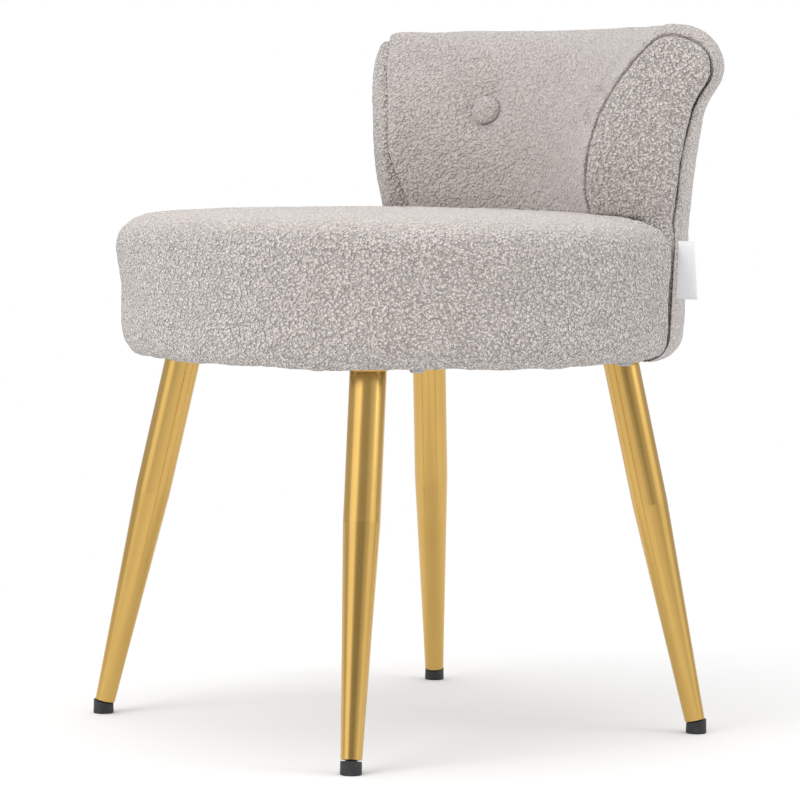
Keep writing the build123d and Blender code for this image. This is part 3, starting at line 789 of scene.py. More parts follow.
@dataclass
class SeatCushion:
    """The round drum of the seat, with room at the rear for the back."""

    fabric: bpy.types.Material
    radius: float = 0.227
    top: float = 0.413
    bottom: float = 0.296
    crown: float = 0.0055
    edge_round: float = 0.028
    draw_in: float = 0.0025
    foot_round: float = 0.018
    lip: float = 0.196
    recess: float = 0.010
    notch_radius: float = 0.1997
    notch_angle: float = 58.3
    notch_reach: float = 0.4
    notch_heights: Band = (0.2, 0.5)
    swell: float = 0.0015
    shoulder: float = 0.0028
    shoulder_rise: Band = (0.345, 0.385)
    shoulder_fall: Band = (0.390, 0.411)
    shoulder_angles: Band = (62.0, 76.0)
    shoulder_radii: Band = (0.170, 0.220)
    sags: tuple[Point, ...] = (
        (0, 0.0), (50, -0.0005), (66, -0.0005), (80, 0.0005), (87, 0.0014), (93, 0.0030),
        (105, 0.0040), (114, 0.0032), (122, 0.0040), (131, 0.0055), (143, 0.0068), (152, 0.0057),
        (165, 0.0055), (180, 0.0054), (196, 0.0044), (230, 0.0020), (300, 0.0015), (360, 0.0),
    )
    sag_run: float = 0.034
    sag_radii: Band = (0.190, 0.212)
    ripple: float = 0.0012
    ripple_rate: float = 9.0
    ripple_row: float = 9.0
    staple_margin: float = 0.004
    notch_margin: float = 0.003
    notch_margin_angle: float = 0.4
    voxel: float = 0.0045
    fill_cap: float = 0.0025

    def drum(self) -> bpy.types.Object:
        """Turns the drum on the seat's axis.

        Returns:
            The closed drum, a little under size so that it can swell.
        """
        bm = bmesh.new()
        edge = (self.radius - self.edge_round, self.top - self.crown - self.edge_round)
        side = self.radius - self.draw_in
        foot = (side - self.foot_round, self.bottom + self.foot_round)
        rise = edge[0] ** 2 / (2 * self.crown) + self.crown / 2
        crown_sweep = -math.degrees(math.asin(edge[0] / rise))
        waist = (side - self.swell, (edge[1] + foot[1]) / 2)
        pen = Pen(bm, (0.0, self.top - self.swell))
        pen.arc((0.0, self.top - rise), crown_sweep, 30)
        pen.line(polar(edge, self.edge_round - self.swell, 90))
        pen.arc(edge, -90, 10).line(waist, 6).line(polar(foot, self.foot_round - self.swell, 0), 6)
        pen.arc(foot, -90, 8).line((self.lip, self.bottom + self.swell), 2)
        under = self.bottom + self.recess
        pen.line((self.lip, under), 2).line((0.0, under), 20)
        spin(bm, bm.edges[:], 360, 180)
        bmesh.ops.translate(bm, verts=bm.verts, vec=SEAT_AXIS)
        return new_piece(bm, "seat_cushion")

    def notch(self) -> bpy.types.Object:
        """Makes the block that the drum leaves free for the back.

        Returns:
            The block.
        """
        bm = bmesh.new()
        near, far, (low, high) = self.notch_radius, self.notch_reach, self.notch_heights
        Pen(bm, (near, low)).line((far, low)).line((far, high)).line((near, high)).close()
        turn_to(bm, bm.verts[:], self.notch_angle)
        start = bm.edges[:]
        last = spin(bm, start, 2 * self.notch_angle, 90)
        for loop in (start, last):
            bmesh.ops.edgeloop_fill(bm, edges=loop)
        bmesh.ops.translate(bm, verts=bm.verts, vec=SEAT_AXIS)
        return new_piece(bm, "seat_notch")

    def surface(self, radius: float) -> float:
        """Height of the crowned top at a radius."""
        return self.top - self.crown * (radius / (self.radius - self.edge_round)) ** 2

    def held(self, place: Vector) -> bool:
        """Tells where the cover is stapled down or hidden against the back.

        Args:
            place: a point of the cover.

        Returns:
            True if the point stays where it is.
        """
        angle, radius, height = cylindrical(place)
        beside = abs(angle) < self.notch_angle + self.notch_margin_angle
        in_notch = beside and radius > self.notch_radius - self.notch_margin
        stapled = height < self.bottom + self.recess + self.staple_margin
        return in_notch or (stapled and radius < self.lip + self.staple_margin)

    def sag(self, angle: float) -> float:
        """How far the turned-under edge hangs, as a hand-stapled cover does.

        Args:
            angle: where, in degrees.

        Returns:
            The drop.
        """
        turn = angle % 360.0
        for (first, low), (last, high) in zip(self.sags, self.sags[1:]):
            if turn <= last:
                return low + (high - low) * eased(turn, first, last)
        return 0.0

    def settle(self, place: Vector, normal: Vector) -> Vector:
        """Lets the cover swell under its upper edge and hang unevenly at its lower one.

        Args:
            place: a point of the cover.
            normal: its normal, which isn't needed.

        Returns:
            Its settled place.
        """
        angle, radius, height = cylindrical(place)
        out = hump(height, self.shoulder_rise, self.shoulder_fall)
        out *= eased(abs(angle), *self.shoulder_angles)
        out = self.shoulder * out * eased(radius, *self.shoulder_radii)
        low = 1 - eased(height, self.bottom, self.bottom + self.sag_run)
        wave = Vector((math.radians(angle) * self.ripple_rate, self.ripple_row, 0.0))
        drop = self.sag(angle) + self.ripple * noise.noise(wave)
        down = Vector((0, 0, drop * (low * eased(radius, *self.sag_radii))))
        return on_seat(angle, radius + out, height) - down

    def build(self) -> bpy.types.Object:
        """Makes and dresses the cushion.

        Returns:
            The cushion.
        """
        piece, notch = self.drum(), self.notch()
        modify(piece, "BOOLEAN", {"operation": "DIFFERENCE", "object": notch, "solver": "FAST"})
        bpy.data.objects.remove(notch)
        remesh(piece, self.voxel)
        inflate(piece, lambda number: self.held(piece.data.vertices[number].co), self.fill_cap)
        subdivide(piece)
        move_points(piece, self.settle)
        raise_pile(piece)
        return dress(piece, self.fabric, "pile_fabric", "seat_cover", "seat_foam")


@dataclass(frozen=True)
class Inset:
    """How far a section's outer line, its crest and its inner face are moved in."""

    outer: float = 0.0
    top: float = 0.0
    inner: float = 0.0

    def scaled(self, share: float, more: float = 0.0) -> "Inset":
        """The inset times a share, with a little more everywhere."""
        return Inset(self.outer * share + more, self.top * share + more, self.inner * share + more)

    def depth(self, run: Vector) -> float:
        """How much more than the outer line a stretch over the crest is moved in.

        Args:
            run: the stretch's direction; stretches go over the crest and down the inner face.

        Returns:
            The distance along the stretch's normal.
        """
        facing = math.degrees(math.atan2(-run.x, run.z))
        facing += 360.0 if facing < -90.0 else 0.0
        up = (self.top - self.outer) * eased(facing, *FACING_UP)
        return up + (self.inner - self.top) * eased(facing, *FACING_IN)


@dataclass(frozen=True)
class BackBends:
    """Where each soft bend of the back starts and is complete, in metres of height or radius, or in
    degrees from the middle. The inner and outer lean have a start and a run instead."""

    inner_lean: Band = (0.430, 0.129)
    inner_power: float = 1.7
    outer_lean: Band = (0.405, 0.095)
    outside_radii: Band = (0.180, 0.235)
    draw_heights: Band = (0.400, 0.470)
    draw_radii: Band = (0.195, 0.225)
    wing_angles: Band = (36.0, 52.0)
    drop_radii: Band = (0.214, 0.245)
    drop_heights: Band = (0.50, 0.53)
    lift_rise: Band = (0.165, 0.200)
    lift_fall: Band = (0.214, 0.240)
    lift_heights: Band = (0.50, 0.545)
    tuck_heights: Band = (0.412, 0.425)
    tuck_radii: Band = (0.150, 0.190)
    belly_rise: Band = (0.405, 0.460)
    belly_fall: Band = (0.525, 0.560)
    waist_rise: Band = (0.386, 0.408)
    waist_fall: Band = (0.408, 0.454)
    under_heights: Band = (0.404, 0.410)
    under_radii: Band = (0.170, 0.200)
    end_angles: Band = (38.0, 56.0)
    side_heights: Band = (0.378, 0.402)
    side_angles: Band = (50.0, 56.0)
    skin_radii: Band = (0.214, 0.223)
    lag_heights: Band = (0.414, 0.470)
    lag_radii: Band = (0.165, 0.200)
    lag_angles: Band = (30.0, 52.0)
    left_angles: Band = (18.0, 44.0)
    left_heights: Band = (0.525, 0.555)


@dataclass
class ScrolledBack:
    """The low back: a pad that wraps the rear of the seat, rolls outward at its crest and is closed
    by a sewn panel at each end."""

    fabric: bpy.types.Material
    end_fabric: bpy.types.Material
    seat: SeatCushion
    bends: BackBends = BackBends()
    half_angle: float = 58.0
    rise: float = 0.146
    crest_rise: float = 0.0045
    pad_reach: float = 0.082
    roll: float = 0.032
    overhang: float = 0.020
    axis_shift: float = 0.040
    crest_round: float = 0.050
    hollow: float = 0.060
    flare: float = 30.0
    flare_run: float = 0.012
    lean_start: float = 0.008
    shoulder_run: float = 0.028
    inner_straight: float = 0.017
    end_round: float = 0.018
    seam_back: float = 0.007
    seam: Inset = Inset(0.0060, 0.0085, 0.0055)
    seam_tuck: float = 1.03
    foot_share: float = 0.17
    foot_round: float = 0.0220
    wall_gap: float = 0.0004
    heel_run: float = 0.008
    heel_dip: float = 0.0035
    hem_rise: float = 0.001
    end_turns: tuple[float, ...] = (20, 40, 60, 78)
    seam_gap: float = 0.0011
    left_seam: Inset = Inset(0.0060, 0.0035, 0.0040)
    left_gap: float = 0.0036
    seam_depth: float = 0.006
    end_bulge: float = 0.0045
    end_draw: float = 0.003
    under_draw: float = 0.5
    skin_more: float = 0.35
    left_lag: float = 0.012
    left_lift: float = 0.0022
    roll_draw: float = 0.0045
    roll_drop: float = 0.0035
    crest_lift: float = 0.0015
    tuck: float = 0.0025
    button_angle: float = 27.0
    button_height: float = 0.495
    button_radius: float = 0.012
    button_flat: float = 0.36
    button_out: float = 0.0033
    button_pile: float = 0.0004
    tuft_depth: float = 0.0058
    tuft_core: float = 0.75
    tuft_run: float = 0.022
    tuft_power: float = 1.4
    face_limit: float = 0.195
    press: float = 0.0006
    steps: int = 112
    sewn_angle: float = 3.4
    press_margin: float = 0.004
    hem_margin: float = 0.006
    tie_margin: float = 0.002
    fill_cap: float = 0.003
    panel_depth: float = 0.012
    panel_sink: float = 0.0115
    panel_round: float = 0.006
    panel_back: float = 0.003
    panel_voxel: float = 0.003
    panel_sewn_angle: float = 1.2
    panel_cap: float = 0.0025
    panel_pressure: float = 12.0
    tufts: list[tuple[Matrix, Matrix]] = field(init=False)

    def __post_init__(self) -> None:
        """Works out the frames of the two tufts and their inverses."""
        frames = [self.button_frame(side) for side in Side]
        self.tufts = [(tuft, tuft.inverted()) for tuft in frames]

    def reach(self, angle: float) -> float:
        """Radius of the roll's outermost line.

        Args:
            angle: where, in degrees.

        Returns:
            The radius about the seat's axis.
        """
        a, shift = math.radians(angle), self.axis_shift
        arc = self.seat.radius + self.overhang + shift
        return math.sqrt(arc**2 - (shift * math.sin(a)) ** 2) - shift * math.cos(a)

    def crest(self, angle: float) -> float:
        """Height of the crest at an angle."""
        bow = math.cos(math.radians(90 * angle / self.half_angle))
        return self.seat.top + self.rise + self.crest_rise * bow

    def face_arc(self, angle: float) -> tuple[Point, float, float]:
        """Arc of the inner face's section.

        Args:
            angle: where the section stands, in degrees.

        Returns:
            The arc's centre, its radius and the slope at its end, in degrees.
        """
        crest_r, crest = self.reach(angle) - self.roll, self.crest(angle)
        drop = crest - self.crest_round - (self.seat.top + self.inner_straight)
        back = crest_r - (self.seat.radius - self.pad_reach) - self.crest_round
        slope = 2 * math.atan(back / drop)
        run = drop / math.sin(slope)
        centre = (crest_r + run * math.cos(slope), self.seat.top + self.inner_straight)
        return centre, run + self.crest_round, math.degrees(slope)

    def section(
        self, bm: bmesh.types.BMesh, angle: float, inset: Inset = Inset()
    ) -> list[bmesh.types.BMEdge]:
        """Draws the closed section of a wing's end and turns it to its place. The last number of
        each line or arc counts its edges.

        Args:
            bm: the bmesh that takes it.
            angle: where it stands, in degrees.
            inset: how far its visible lines are moved in.

        Returns:
            The edges of the section.
        """
        seat, end = self.seat, self.half_angle
        crest = self.crest(end)
        roll_c = (self.reach(end) - self.roll, crest - self.roll)
        crest_c = (roll_c[0], crest - self.crest_round)
        flare_foot = polar(polar(roll_c, self.roll, -self.flare), self.flare_run, -90 - self.flare)
        hollow_c, hollow = polar(flare_foot, self.hollow, -self.flare), self.hollow + inset.outer
        shoulder = (seat.radius - inset.outer, seat.top - self.lean_start)
        away = (hollow_c[0] - shoulder[0], hollow_c[1] - shoulder[1])
        lean = math.degrees(math.atan2(*away) - math.asin(hollow / math.hypot(*away)))
        face_c, _, slope = self.face_arc(end)
        foot_c = (seat.radius - seat.draw_in - self.foot_round, seat.bottom + self.foot_round)
        inner, wall = seat.radius - self.pad_reach + inset.outer, seat.notch_radius + self.wall_gap
        floor, heel = seat.surface(inner) - self.press, seat.surface(wall) - self.press
        before = set(bm.edges)
        low = inset.outer * self.foot_share
        pen = Pen(bm, polar(foot_c, self.foot_round - low, -90))
        pen.arc(foot_c, 90, 8).line((seat.radius - low, seat.top - self.shoulder_run), 17)
        pen.line(shoulder, 3).line(polar(hollow_c, hollow, 180 - lean), 11)
        pen.arc(hollow_c, lean - self.flare, 5)
        pen.line(polar(roll_c, self.roll - inset.outer, -self.flare), 3)
        drawn = len(bm.verts)
        pen.arc(roll_c, 90 + self.flare, 18).arc(crest_c, 90 - slope, 8)
        pen.arc(face_c, slope, 24).line((inner, floor), 4)
        line = bm.verts[drawn - 1:]
        runs = [after.co - first.co for first, after in zip(line, line[1:])]
        for vertex, run in zip(line[1:], runs):
            vertex.co -= inset.depth(run) * Vector((run.z, 0.0, -run.x)).normalized()
        pen.line((wall - self.heel_run, heel), 7).line((wall, heel - self.heel_dip), 2)
        pen.line((wall, seat.bottom + self.hem_rise), 20).close()
        edges = [edge for edge in bm.edges if edge not in before]
        points = list({vertex for edge in edges for vertex in edge.verts})
        turn_to(bm, points, angle)
        return edges

    def below(self, height: float) -> float:
        """Share of the wing's end that meets the seat's side: none above the seat, all below it."""
        return 1 - eased(height, *self.bends.side_heights)

    def spread(self, bound: float, radius: float, height: float) -> Point:
        """Flares the roll towards the wings, raises the crest in the middle and tucks the foot of
        the inner face in.

        Args:
            bound: a point's angle from the middle, at most that of a wing's end.
            radius: its radius.
            height: its height.

        Returns:
            How far the point moves out and up.
        """
        bends, wing = self.bends, eased(bound, *self.bends.wing_angles)
        inner = slope_up(height, *bends.inner_lean) ** bends.inner_power
        outer = slope_up(height, *bends.outer_lean)
        share = inner + (outer - inner) * eased(radius, *bends.outside_radii)
        draw = eased(height, *bends.draw_heights) * eased(radius, *bends.draw_radii)
        tuck = (1 - eased(height, *bends.tuck_heights)) * (1 - eased(radius, *bends.tuck_radii))
        out = (self.reach(bound) - self.reach(self.half_angle)) * share
        out += self.tuck * tuck - self.roll_draw * draw
        drop = eased(radius, *bends.drop_radii) * eased(height, *bends.drop_heights)
        lift = hump(radius, bends.lift_rise, bends.lift_fall) * eased(height, *bends.lift_heights)
        up = (self.crest(bound) - self.crest(self.half_angle)) * share
        return out, up + (self.crest_lift * lift - self.roll_drop * drop) * wing

    def slide(self, angle: float, radius: float, height: float) -> float:
        """Swells the soft ends at half height, draws them in at the seat and sets their lower part
        against the seat's side. The left end lags a little at its foot.

        Args:
            angle: a point's angle in degrees.
            radius: its radius.
            height: its height.

        Returns:
            How far the point moves towards its wing's end.
        """
        bends, away = self.bends, abs(angle)
        belly = hump(height, bends.belly_rise, bends.belly_fall)
        waist = hump(height, bends.waist_rise, bends.waist_fall)
        under = (1 - eased(height, *bends.under_heights)) * (1 - eased(radius, *bends.under_radii))
        drawn = max(waist, self.under_draw * under)
        along = (self.end_bulge * belly - self.end_draw * drawn) * eased(away, *bends.end_angles)
        skin = 1 + self.skin_more * eased(radius, *bends.skin_radii)
        along += self.seam_back * skin * self.below(height) * eased(away, *bends.side_angles)
        if angle < 0:
            back = math.radians(self.half_angle - away) * radius
            low = (1 - eased(height, *bends.lag_heights)) * (1 - eased(radius, *bends.lag_radii))
            low *= eased(back, 0.0, self.seam_back)
            along -= self.left_lag * low * eased(away, *bends.lag_angles)
        return along

    def warp(self, place: Vector) -> Vector:
        """Bends a straight-sided back into the real one.

        Args:
            place: a point of the back as spun from the wing's section.

        Returns:
            Its place on the real back.
        """
        angle, radius, height = cylindrical(place)
        bends, away = self.bends, abs(angle)
        out, up = self.spread(min(self.half_angle, away), radius, height)
        if angle < 0:
            higher = eased(away, *bends.left_angles) * eased(height, *bends.left_heights)
            up += self.left_lift * higher
        along = self.slide(angle, radius, height)
        turn = math.copysign(1.0, angle) * math.degrees(along / radius)
        return on_seat(angle + turn, radius + out, height + up)

    def button_frame(self, side: Side) -> Matrix:
        """Frame of a tuft on the inner face, with Z out of the pad.

        Args:
            side: the wing.

        Returns:
            The frame as a matrix.
        """
        (centre_r, centre_z), radius, _ = self.face_arc(self.button_angle)
        tilt = math.asin((self.button_height - centre_z) / radius)
        a = math.radians(side.value * self.button_angle)
        out = Vector((-math.sin(a) * math.cos(tilt), -math.cos(a) * math.cos(tilt), math.sin(tilt)))
        across = Vector((math.cos(a), -math.sin(a), 0.0))
        face = centre_r - radius * math.cos(tilt)
        place = on_seat(side.value * self.button_angle, face, self.button_height)
        turn = Matrix((across, out.cross(across), out)).transposed()
        return Matrix.Translation(place) @ turn.to_4x4()

    def tuft(self, place: Vector) -> Vector:
        """Draws the inner face in round each button.

        Args:
            place: a point of the cover.

        Returns:
            Its place on the tufted cover.
        """
        if cylindrical(place)[1] > self.face_limit:
            return place
        for tuft, inverse in self.tufts:
            local = inverse @ place
            away = math.hypot(local.x, local.y)
            core, rim = self.button_radius * self.tuft_core, self.button_radius + self.tuft_run
            fall = 1.0 - eased(away, core, rim)
            place = place - tuft.col[2].to_3d() * self.tuft_depth * fall**self.tuft_power
        return place

    def held(self, place: Vector) -> bool:
        """Tells where the cover is tied, stapled or pressed against the seat.

        Args:
            place: a point of the cover.

        Returns:
            True if the point stays where it is.
        """
        _, radius, height = cylindrical(place)
        seat, hem = self.seat, self.hem_margin
        hidden = height < seat.top + self.press_margin and radius < seat.radius - hem
        near = min((place - tuft.to_translation()).length for tuft, _ in self.tufts)
        tied = near < self.button_radius + self.tie_margin
        return hidden or tied or height < seat.bottom + hem

    def seam_at(self, side: Side) -> Inset:
        """Inset of one wing's seam; the left panel is sewn in nearly flush."""
        return self.seam if side is Side.RIGHT else self.left_seam

    def close_end(
        self, bm: bmesh.types.BMesh, loop: list[bmesh.types.BMEdge], side: Side, reach: float
    ) -> None:
        """Rounds one end of the spun cover and sinks its seam.

        Args:
            bm: the cover.
            loop: the open edges of the end.
            side: the wing.
            reach: the angle of the loop.
        """
        run = self.end_round - self.seam_back
        turns = [math.radians(turn) for turn in self.end_turns]
        rings = [(run * math.sin(turn), 1 - math.cos(turn)) for turn in turns]
        rings += [(run, 1.0), (run - self.seam_depth, self.seam_tuck)]
        for along, share in rings:
            angle = reach + math.degrees(along / self.seat.notch_radius)
            ring = self.section(bm, side.value * angle, self.seam_at(side).scaled(share))
            bmesh.ops.bridge_loops(bm, edges=loop + ring)
            loop = ring
        bmesh.ops.edgeloop_fill(bm, edges=loop)

    def cover(self) -> bpy.types.Object:
        """Spins, closes, bends, tufts and fills the main cover.

        Returns:
            The dressed cover.
        """
        bm = bmesh.new()
        reach = self.half_angle - math.degrees(self.end_round / self.seat.notch_radius)
        start = self.section(bm, reach)
        last = spin(bm, start, 2 * reach, self.steps)
        self.close_end(bm, start, Side.RIGHT, reach)
        self.close_end(bm, last, Side.LEFT, reach)
        bmesh.ops.translate(bm, verts=bm.verts, vec=SEAT_AXIS)
        piece = new_piece(bm, "back_main_cover")
        points = piece.data.vertices
        seam = self.half_angle - self.sewn_angle
        sewn = {i for i, v in enumerate(points) if abs(cylindrical(v.co)[0]) > seam}
        move_points(piece, lambda place, normal: self.tuft(self.warp(place)))
        inflate(piece, lambda i: i in sewn or self.held(points[i].co), self.fill_cap)
        subdivide(piece)
        raise_pile(piece)
        nodes = ("back_cover", "back_inner_foam", "back_outer_foam")
        return dress(piece, self.fabric, "pile_fabric", *nodes)

    def end_panel(self, side: Side) -> bpy.types.Object:
        """Makes the padded panel sewn into one end.

        Args:
            side: the wing.

        Returns:
            The dressed panel.
        """
        bm = bmesh.new()
        gap = self.seam_gap if side is Side.RIGHT else self.left_gap
        edges = self.section(bm, 90.0, self.seam_at(side).scaled(1.0, gap))
        face = bmesh.ops.edgeloop_fill(bm, edges=edges)["faces"]
        raised = bmesh.ops.extrude_face_region(bm, geom=face)["geom"]
        shift = only(bmesh.types.BMVert, raised)
        bmesh.ops.translate(bm, verts=shift, vec=(0, -self.panel_depth, 0))
        bmesh.ops.translate(bm, verts=bm.verts, vec=(0, self.panel_sink, 0))
        bmesh.ops.recalc_face_normals(bm, faces=bm.faces)
        top = [edge for edge in bm.edges if all(v.co.y < self.panel_sink / 2 for v in edge.verts)]
        bmesh.ops.bevel(
            bm, geom=top, offset=self.panel_round, offset_type="OFFSET", affect="EDGES",
            segments=5, profile=0.5, material=-1,
        )
        for vertex in bm.verts:
            vertex.co.y += (self.seam_back + self.panel_back) * self.below(vertex.co.z)
        turn_to(bm, bm.verts[:], self.half_angle)
        if side is Side.LEFT:
            bmesh.ops.scale(bm, verts=bm.verts, vec=(-1, 1, 1))
        bmesh.ops.translate(bm, verts=bm.verts, vec=SEAT_AXIS)
        piece = new_piece(bm, f"back_end_pad_{side.name.lower()}")
        remesh(piece, self.panel_voxel)
        seam = self.half_angle - self.panel_sewn_angle
        sewn = {i for i, v in enumerate(piece.data.vertices) if abs(cylindrical(v.co)[0]) < seam}
        move_points(piece, lambda place, normal: self.warp(place))
        inflate(piece, lambda i: i in sewn, self.panel_cap, self.panel_pressure)
        subdivide(piece)
        raise_pile(piece)
        return dress(piece, self.end_fabric, "pile_fabric", f"back_end_panel_{side.name.lower()}")

    def button(self, side: Side) -> bpy.types.Object:
        """Makes one fabric-covered button in its tuft.

        Args:
            side: the wing.

        Returns:
            The dressed button.
        """
        bm = bmesh.new()
        bmesh.ops.create_uvsphere(bm, u_segments=40, v_segments=20, radius=self.button_radius)
        bmesh.ops.scale(bm, verts=bm.verts, vec=(1.0, 1.0, self.button_flat))
        sink = Matrix.Translation((0, 0, self.button_out - self.tuft_depth))
        bmesh.ops.transform(bm, matrix=self.button_frame(side) @ sink, verts=bm.verts)
        piece = new_piece(bm, f"back_button_{side.name.lower()}")
        subdivide(piece)
        raise_pile(piece, 0.0, self.button_pile)
        return dress(piece, self.fabric, "pile_fabric", f"tuft_button_{side.name.lower()}")

    def build(self) -> None:
        """Makes every piece of the back."""
        self.cover()
        for side in Side:
            self.end_panel(side)
            self.button(side)


@dataclass
class SewnTag:
    """Blank folded tape, caught in the seam beside the back."""

    tape: bpy.types.Material
    gauge: float = 0.00035
    loop: float = 0.0007
    curl: float = 0.0016
    wave: float = 0.4
    wave_rate: float = 90.0
    skew: float = 0.0030

    def build(self) -> bpy.types.Object:
        """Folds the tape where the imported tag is.

        Returns:
            The dressed tag.
        """
        low, high = (Vector(corner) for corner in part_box("side_tag"))
        middle = (low + high) / 2
        angle, _, _ = cylindrical(middle)
        reach = math.hypot(high.x - low.x, high.y - low.y)
        length = high.z - low.z
        bm = bmesh.new()
        pen = Pen(bm, (-reach / 2, self.loop)).line((reach / 2 - self.loop, self.loop), 6)
        pen.arc((reach / 2 - self.loop, 0.0), -180, 6).line((-reach / 2, -self.loop), 6)
        tape = bmesh.ops.extrude_edge_only(bm, edges=bm.edges[:])["geom"]
        far = only(bmesh.types.BMVert, tape)
        bmesh.ops.translate(bm, verts=far, vec=(0, length, 0))
        run = [e for e in bm.edges if abs(e.verts[0].co.y - e.verts[1].co.y) > length / 2]
        bmesh.ops.subdivide_edges(bm, edges=run, cuts=10)
        bmesh.ops.translate(bm, verts=bm.verts, vec=(0, -length / 2, 0))
        for vertex in bm.verts:
            out = vertex.co.x / reach + 0.5
            wave = self.wave * math.sin(vertex.co.y * self.wave_rate)
            vertex.co.z += self.curl * out**2 * (1 + wave)
            vertex.co.x += self.skew * out * (0.5 - vertex.co.y / length)
        a = math.radians(angle)
        outward = Vector((math.sin(a), math.cos(a), 0))
        along = Vector((math.cos(a), -math.sin(a), 0))
        stand = Matrix((outward, Vector((0, 0, 1)), along)).transposed().to_4x4()
        bmesh.ops.transform(bm, matrix=Matrix.Translation(middle) @ stand, verts=bm.verts)
        piece = new_piece(bm, "blank_tag")
        modify(piece, "SOLIDIFY", {"thickness": self.gauge, "offset": 0.0})
        return dress(piece, self.tape, "white_tape", "side_tag")


@dataclass
class DustCover:
    """Thin black cloth stapled under the seat."""

    cloth: bpy.types.Material
    gauge: float = 0.0006
    rings: tuple[float, ...] = (0.008, 0.012, 0.016, 0.024, 0.032, 0.036, 0.036)
    hem: float = 0.03
    lift: float = 0.0003
    sag: float = 0.0009
    level: float = 0.35
    ripple: float = 0.5
    ripple_rate: float = 30.0

    def build(self) -> bpy.types.Object:
        """Cuts the cloth and lets it hang a little between its staples.

        Returns:
            The dressed cloth.
        """
        low, high = (Vector(corner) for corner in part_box("dust_cover"))
        middle, radius = (low + high) / 2, (high.x - low.x) / 2
        bm = bmesh.new()
        bmesh.ops.create_circle(bm, cap_ends=True, segments=120, radius=radius)
        for ring in self.rings:
            disc = max(bm.faces, key=lambda face: len(face.verts))
            bmesh.ops.inset_region(bm, faces=[disc], thickness=ring)
        bmesh.ops.translate(bm, verts=bm.verts, vec=middle)
        piece = new_piece(bm, "dust_cloth")
        for polygon in piece.data.polygons:
            if polygon.normal.z > 0:
                polygon.flip()

        def hang(place: Vector, normal: Vector) -> Vector:
            """Drops one point.

            Args:
                place: the point.
                normal: its normal, which isn't needed.

            Returns:
                Its place on the hanging cloth.
            """
            inside = eased(radius - (place - middle).length, 0.0, self.hem)
            ripple = noise.noise(Vector((place.x, place.y, 0)) * self.ripple_rate)
            drop = self.sag * inside * (self.level + self.ripple * ripple)
            return place + Vector((0, 0, self.lift - drop))

        move_points(piece, hang)
        modify(piece, "SOLIDIFY", {"thickness": self.gauge, "offset": 0.0})
        return dress(piece, self.cloth, "dust_cloth", "dust_cover")


# Studio


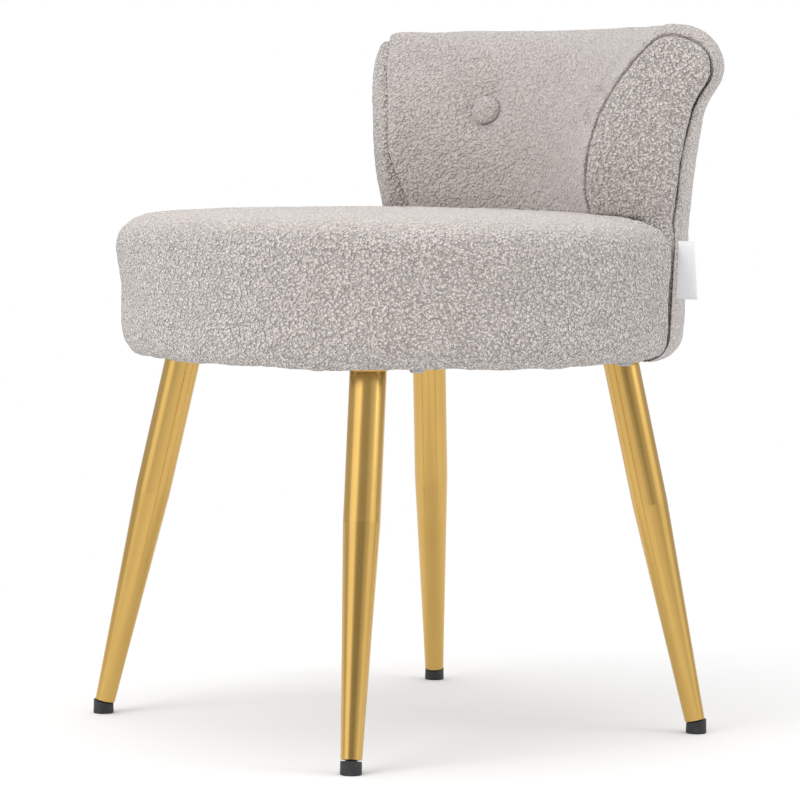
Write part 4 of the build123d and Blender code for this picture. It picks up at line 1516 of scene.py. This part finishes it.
@dataclass
class Studio:
    """Pale floor, soft light and the photograph's camera. A glow of the room has a direction, the
    cosines between which it comes up, and a strength."""

    camera_place: Triple = (2.160, -1.647, 0.4426)
    heading: Point = (-0.797, 0.604)
    pitch: float = 3.855
    roll: float = 0.68
    lens: float = 153.0
    sensor: float = 36.0
    clip: Band = (0.05, 60.0)
    floor_size: float = 9.0
    floor_colour: Colour = (0.90, 0.90, 0.90)
    shadow_run: Band = (0.28, 0.95)
    room: float = 0.55
    glows: tuple[tuple[Triple, Band, float], ...] = (
        ((0, 0, 1), (-0.1, 1.0), 0.75),
        ((0.797, -0.604, 0.30), (0.80, 0.98), -0.36),
        ((-0.125, -0.992, 0.30), (0.88, 0.97), 0.70),
        ((0.800, 0.600, 0.25), (0.88, 0.97), 0.45),
    )
    aim: Triple = (0.0, 0.0, 0.3)

    def camera(self) -> None:
        """Sets the camera up where the photograph was taken."""
        data = bpy.data.cameras.new("camera")
        data.lens, data.sensor_width, data.sensor_fit = self.lens, self.sensor, "HORIZONTAL"
        data.clip_start, data.clip_end = self.clip
        p, r = math.radians(self.pitch), math.radians(self.roll)
        flat = Vector((*self.heading, 0.0)).normalized()
        ahead = flat * math.cos(p) - Vector((0, 0, math.sin(p)))
        level = ahead.cross(Vector((0, 0, 1))).normalized()
        above = level.cross(ahead)
        right = level * math.cos(r) + above * math.sin(r)
        up = above * math.cos(r) - level * math.sin(r)
        camera = bpy.data.objects.new("camera", data)
        turn = Matrix((right, up, -ahead)).transposed().to_4x4()
        camera.matrix_world = Matrix.Translation(self.camera_place) @ turn
        bpy.context.scene.collection.objects.link(camera)
        bpy.context.scene.camera = camera

    def floor(self) -> None:
        """Lays a pale floor that keeps the shadow near the stool and is white further off."""
        bm = bmesh.new()
        bmesh.ops.create_circle(bm, cap_ends=True, segments=96, radius=self.floor_size)
        piece = new_piece(bm, "floor")
        if piece.data.polygons[0].normal.z < 0:
            piece.data.polygons[0].flip()
        material, graph = new_material("pale floor")
        away = graph.vector("LENGTH", {0: graph.place()}, "Value")
        rays = graph.node("ShaderNodeLightPath", {}, {}, "Is Camera Ray")
        glossy = graph.node("ShaderNodeLightPath", {}, {}, "Is Glossy Ray")
        lit = graph.node("ShaderNodeBsdfDiffuse", {}, {"Color": (*self.floor_colour, 1.0)})
        white = graph.node("ShaderNodeEmission", {}, {"Color": WHITE, "Strength": 1.0})
        share = (rays | glossy) * away.ramp(*self.shadow_run)
        both = graph.node("ShaderNodeMixShader", {}, {0: share, 1: lit, 2: white})
        graph.node("ShaderNodeOutputMaterial", {}, {"Surface": both})
        piece.data.materials.append(material)

    def world(self) -> None:
        """Surrounds the stool with a soft white room: brighter above and at both sides, and darker
        behind the camera."""
        world = bpy.data.worlds.new("studio")
        world.use_nodes = True
        bpy.context.scene.world = world
        graph = Graph(world.node_tree)
        way = graph.node("ShaderNodeTexCoord", {}, {}, "Generated")

        level: Value | float = self.room
        for direction, band, strength in self.glows:
            unit = tuple(Vector(direction).normalized())
            cosine = graph.vector("DOT_PRODUCT", {0: way, 1: unit}, "Value")
            level = level + cosine.ramp(*band) * strength
        rays = graph.node("ShaderNodeLightPath", {}, {}, "Is Camera Ray")
        strength = rays + (1 - rays) * level  # the camera sees plain white
        back = graph.node("ShaderNodeBackground", {}, {"Color": WHITE, "Strength": strength})
        graph.node("ShaderNodeOutputWorld", {}, {"Surface": back})

    def lamp(self, name: str, place: Triple, size: float, power: float) -> None:
        """Hangs a square soft lamp that looks at the stool.

        Args:
            name: the lamp's name.
            place: where it hangs.
            size: its side.
            power: its power in watts.
        """
        data = bpy.data.lights.new(name, "AREA")
        data.size, data.energy = size, power
        lamp = bpy.data.objects.new(name, data)
        lamp.location = place
        aim = Vector(self.aim) - Vector(place)
        lamp.rotation_euler = aim.to_track_quat("-Z", "Y").to_euler()
        bpy.context.scene.collection.objects.link(lamp)

    def build(self) -> None:
        """Sets up the whole studio."""
        bpy.context.scene.view_settings.view_transform = "Standard"
        self.camera()
        self.floor()
        self.world()
        self.lamp("key", (0.3, -2.4, 2.2), size=1.6, power=26.0)
        self.lamp("side", (2.2, 1.6, 1.4), size=1.2, power=8.0)


@dataclass
class Finishes:
    """One material for each of the record's slots, and two more states of the pile fabric: a calm
    one for the back, whose colours are darkened as painted shade, and a rough one for the end
    panels.
    """

    slots: dict[str, bpy.types.Material] = field(default_factory=dict)

    def build(self) -> None:
        """Makes every material."""
        makers = {
            "pile_fabric": PileFabric(),
            # The back's fabric: calm pile whose gap and tip colours are darker than the seat's, as
            # painted shade.
            "brushed_shaded_pile": PileFabric(
                "brushed pile fabric with painted shade", (0.390, 0.335, 0.307), (0.662, 0.602, 0.576),
                calm=0.46, calm_from=0.20,
            ),
            "rough_pile": PileFabric("rough pile fabric", calm=0.0),
            "foam": Foam(),
            "dust_cloth": Woven(
                "black dust cloth", (0.030, 0.030, 0.032), (0.012, 0.012, 0.013), 0.0009
            ),
            "white_tape": Woven("white tape", (0.88, 0.885, 0.905), (0.83, 0.835, 0.86)),
            "twine": Woven("waxed twine", (0.55, 0.52, 0.47), (0.34, 0.31, 0.27)),
            "plywood": Plywood(),
            "gold_steel": SatinGold(),
            "black_plastic": Moulded("black plastic", (0.016, 0.016, 0.018)),
            "black_steel": PlatedSteel(
                "black steel", (0.03, 0.03, 0.03), (0.09, 0.09, 0.09), 0.4, 0.5
            ),
            # The zinc colour is darker than bright plating: painted shade that dims the bolt heads
            # showing under the seat.
            "zinc_steel": PlatedSteel("zinc plate", (0.40, 0.41, 0.43), (0.52, 0.53, 0.54)),
        }
        self.slots = {slot: maker.material() for slot, maker in makers.items()}

    def paint_frame(self) -> None:
        """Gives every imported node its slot's material."""
        for part in frame["record"]["subparts"]:
            mesh = frame["nodes"][part["node"]].data
            mesh.materials.clear()
            mesh.materials.append(self.slots[part["material_slot"]])


def main() -> None:
    """Builds the studio and every piece."""
    logging.basicConfig(level=logging.INFO, format="%(name)s: %(message)s")
    Studio().build()
    finishes = Finishes()
    finishes.build()
    finishes.paint_frame()
    seat = SeatCushion(finishes.slots["pile_fabric"])
    seat.build()
    ScrolledBack(finishes.slots["brushed_shaded_pile"], finishes.slots["rough_pile"], seat).build()
    SewnTag(finishes.slots["white_tape"]).build()
    DustCover(finishes.slots["dust_cloth"]).build()


if __name__ == "__main__":
    main()
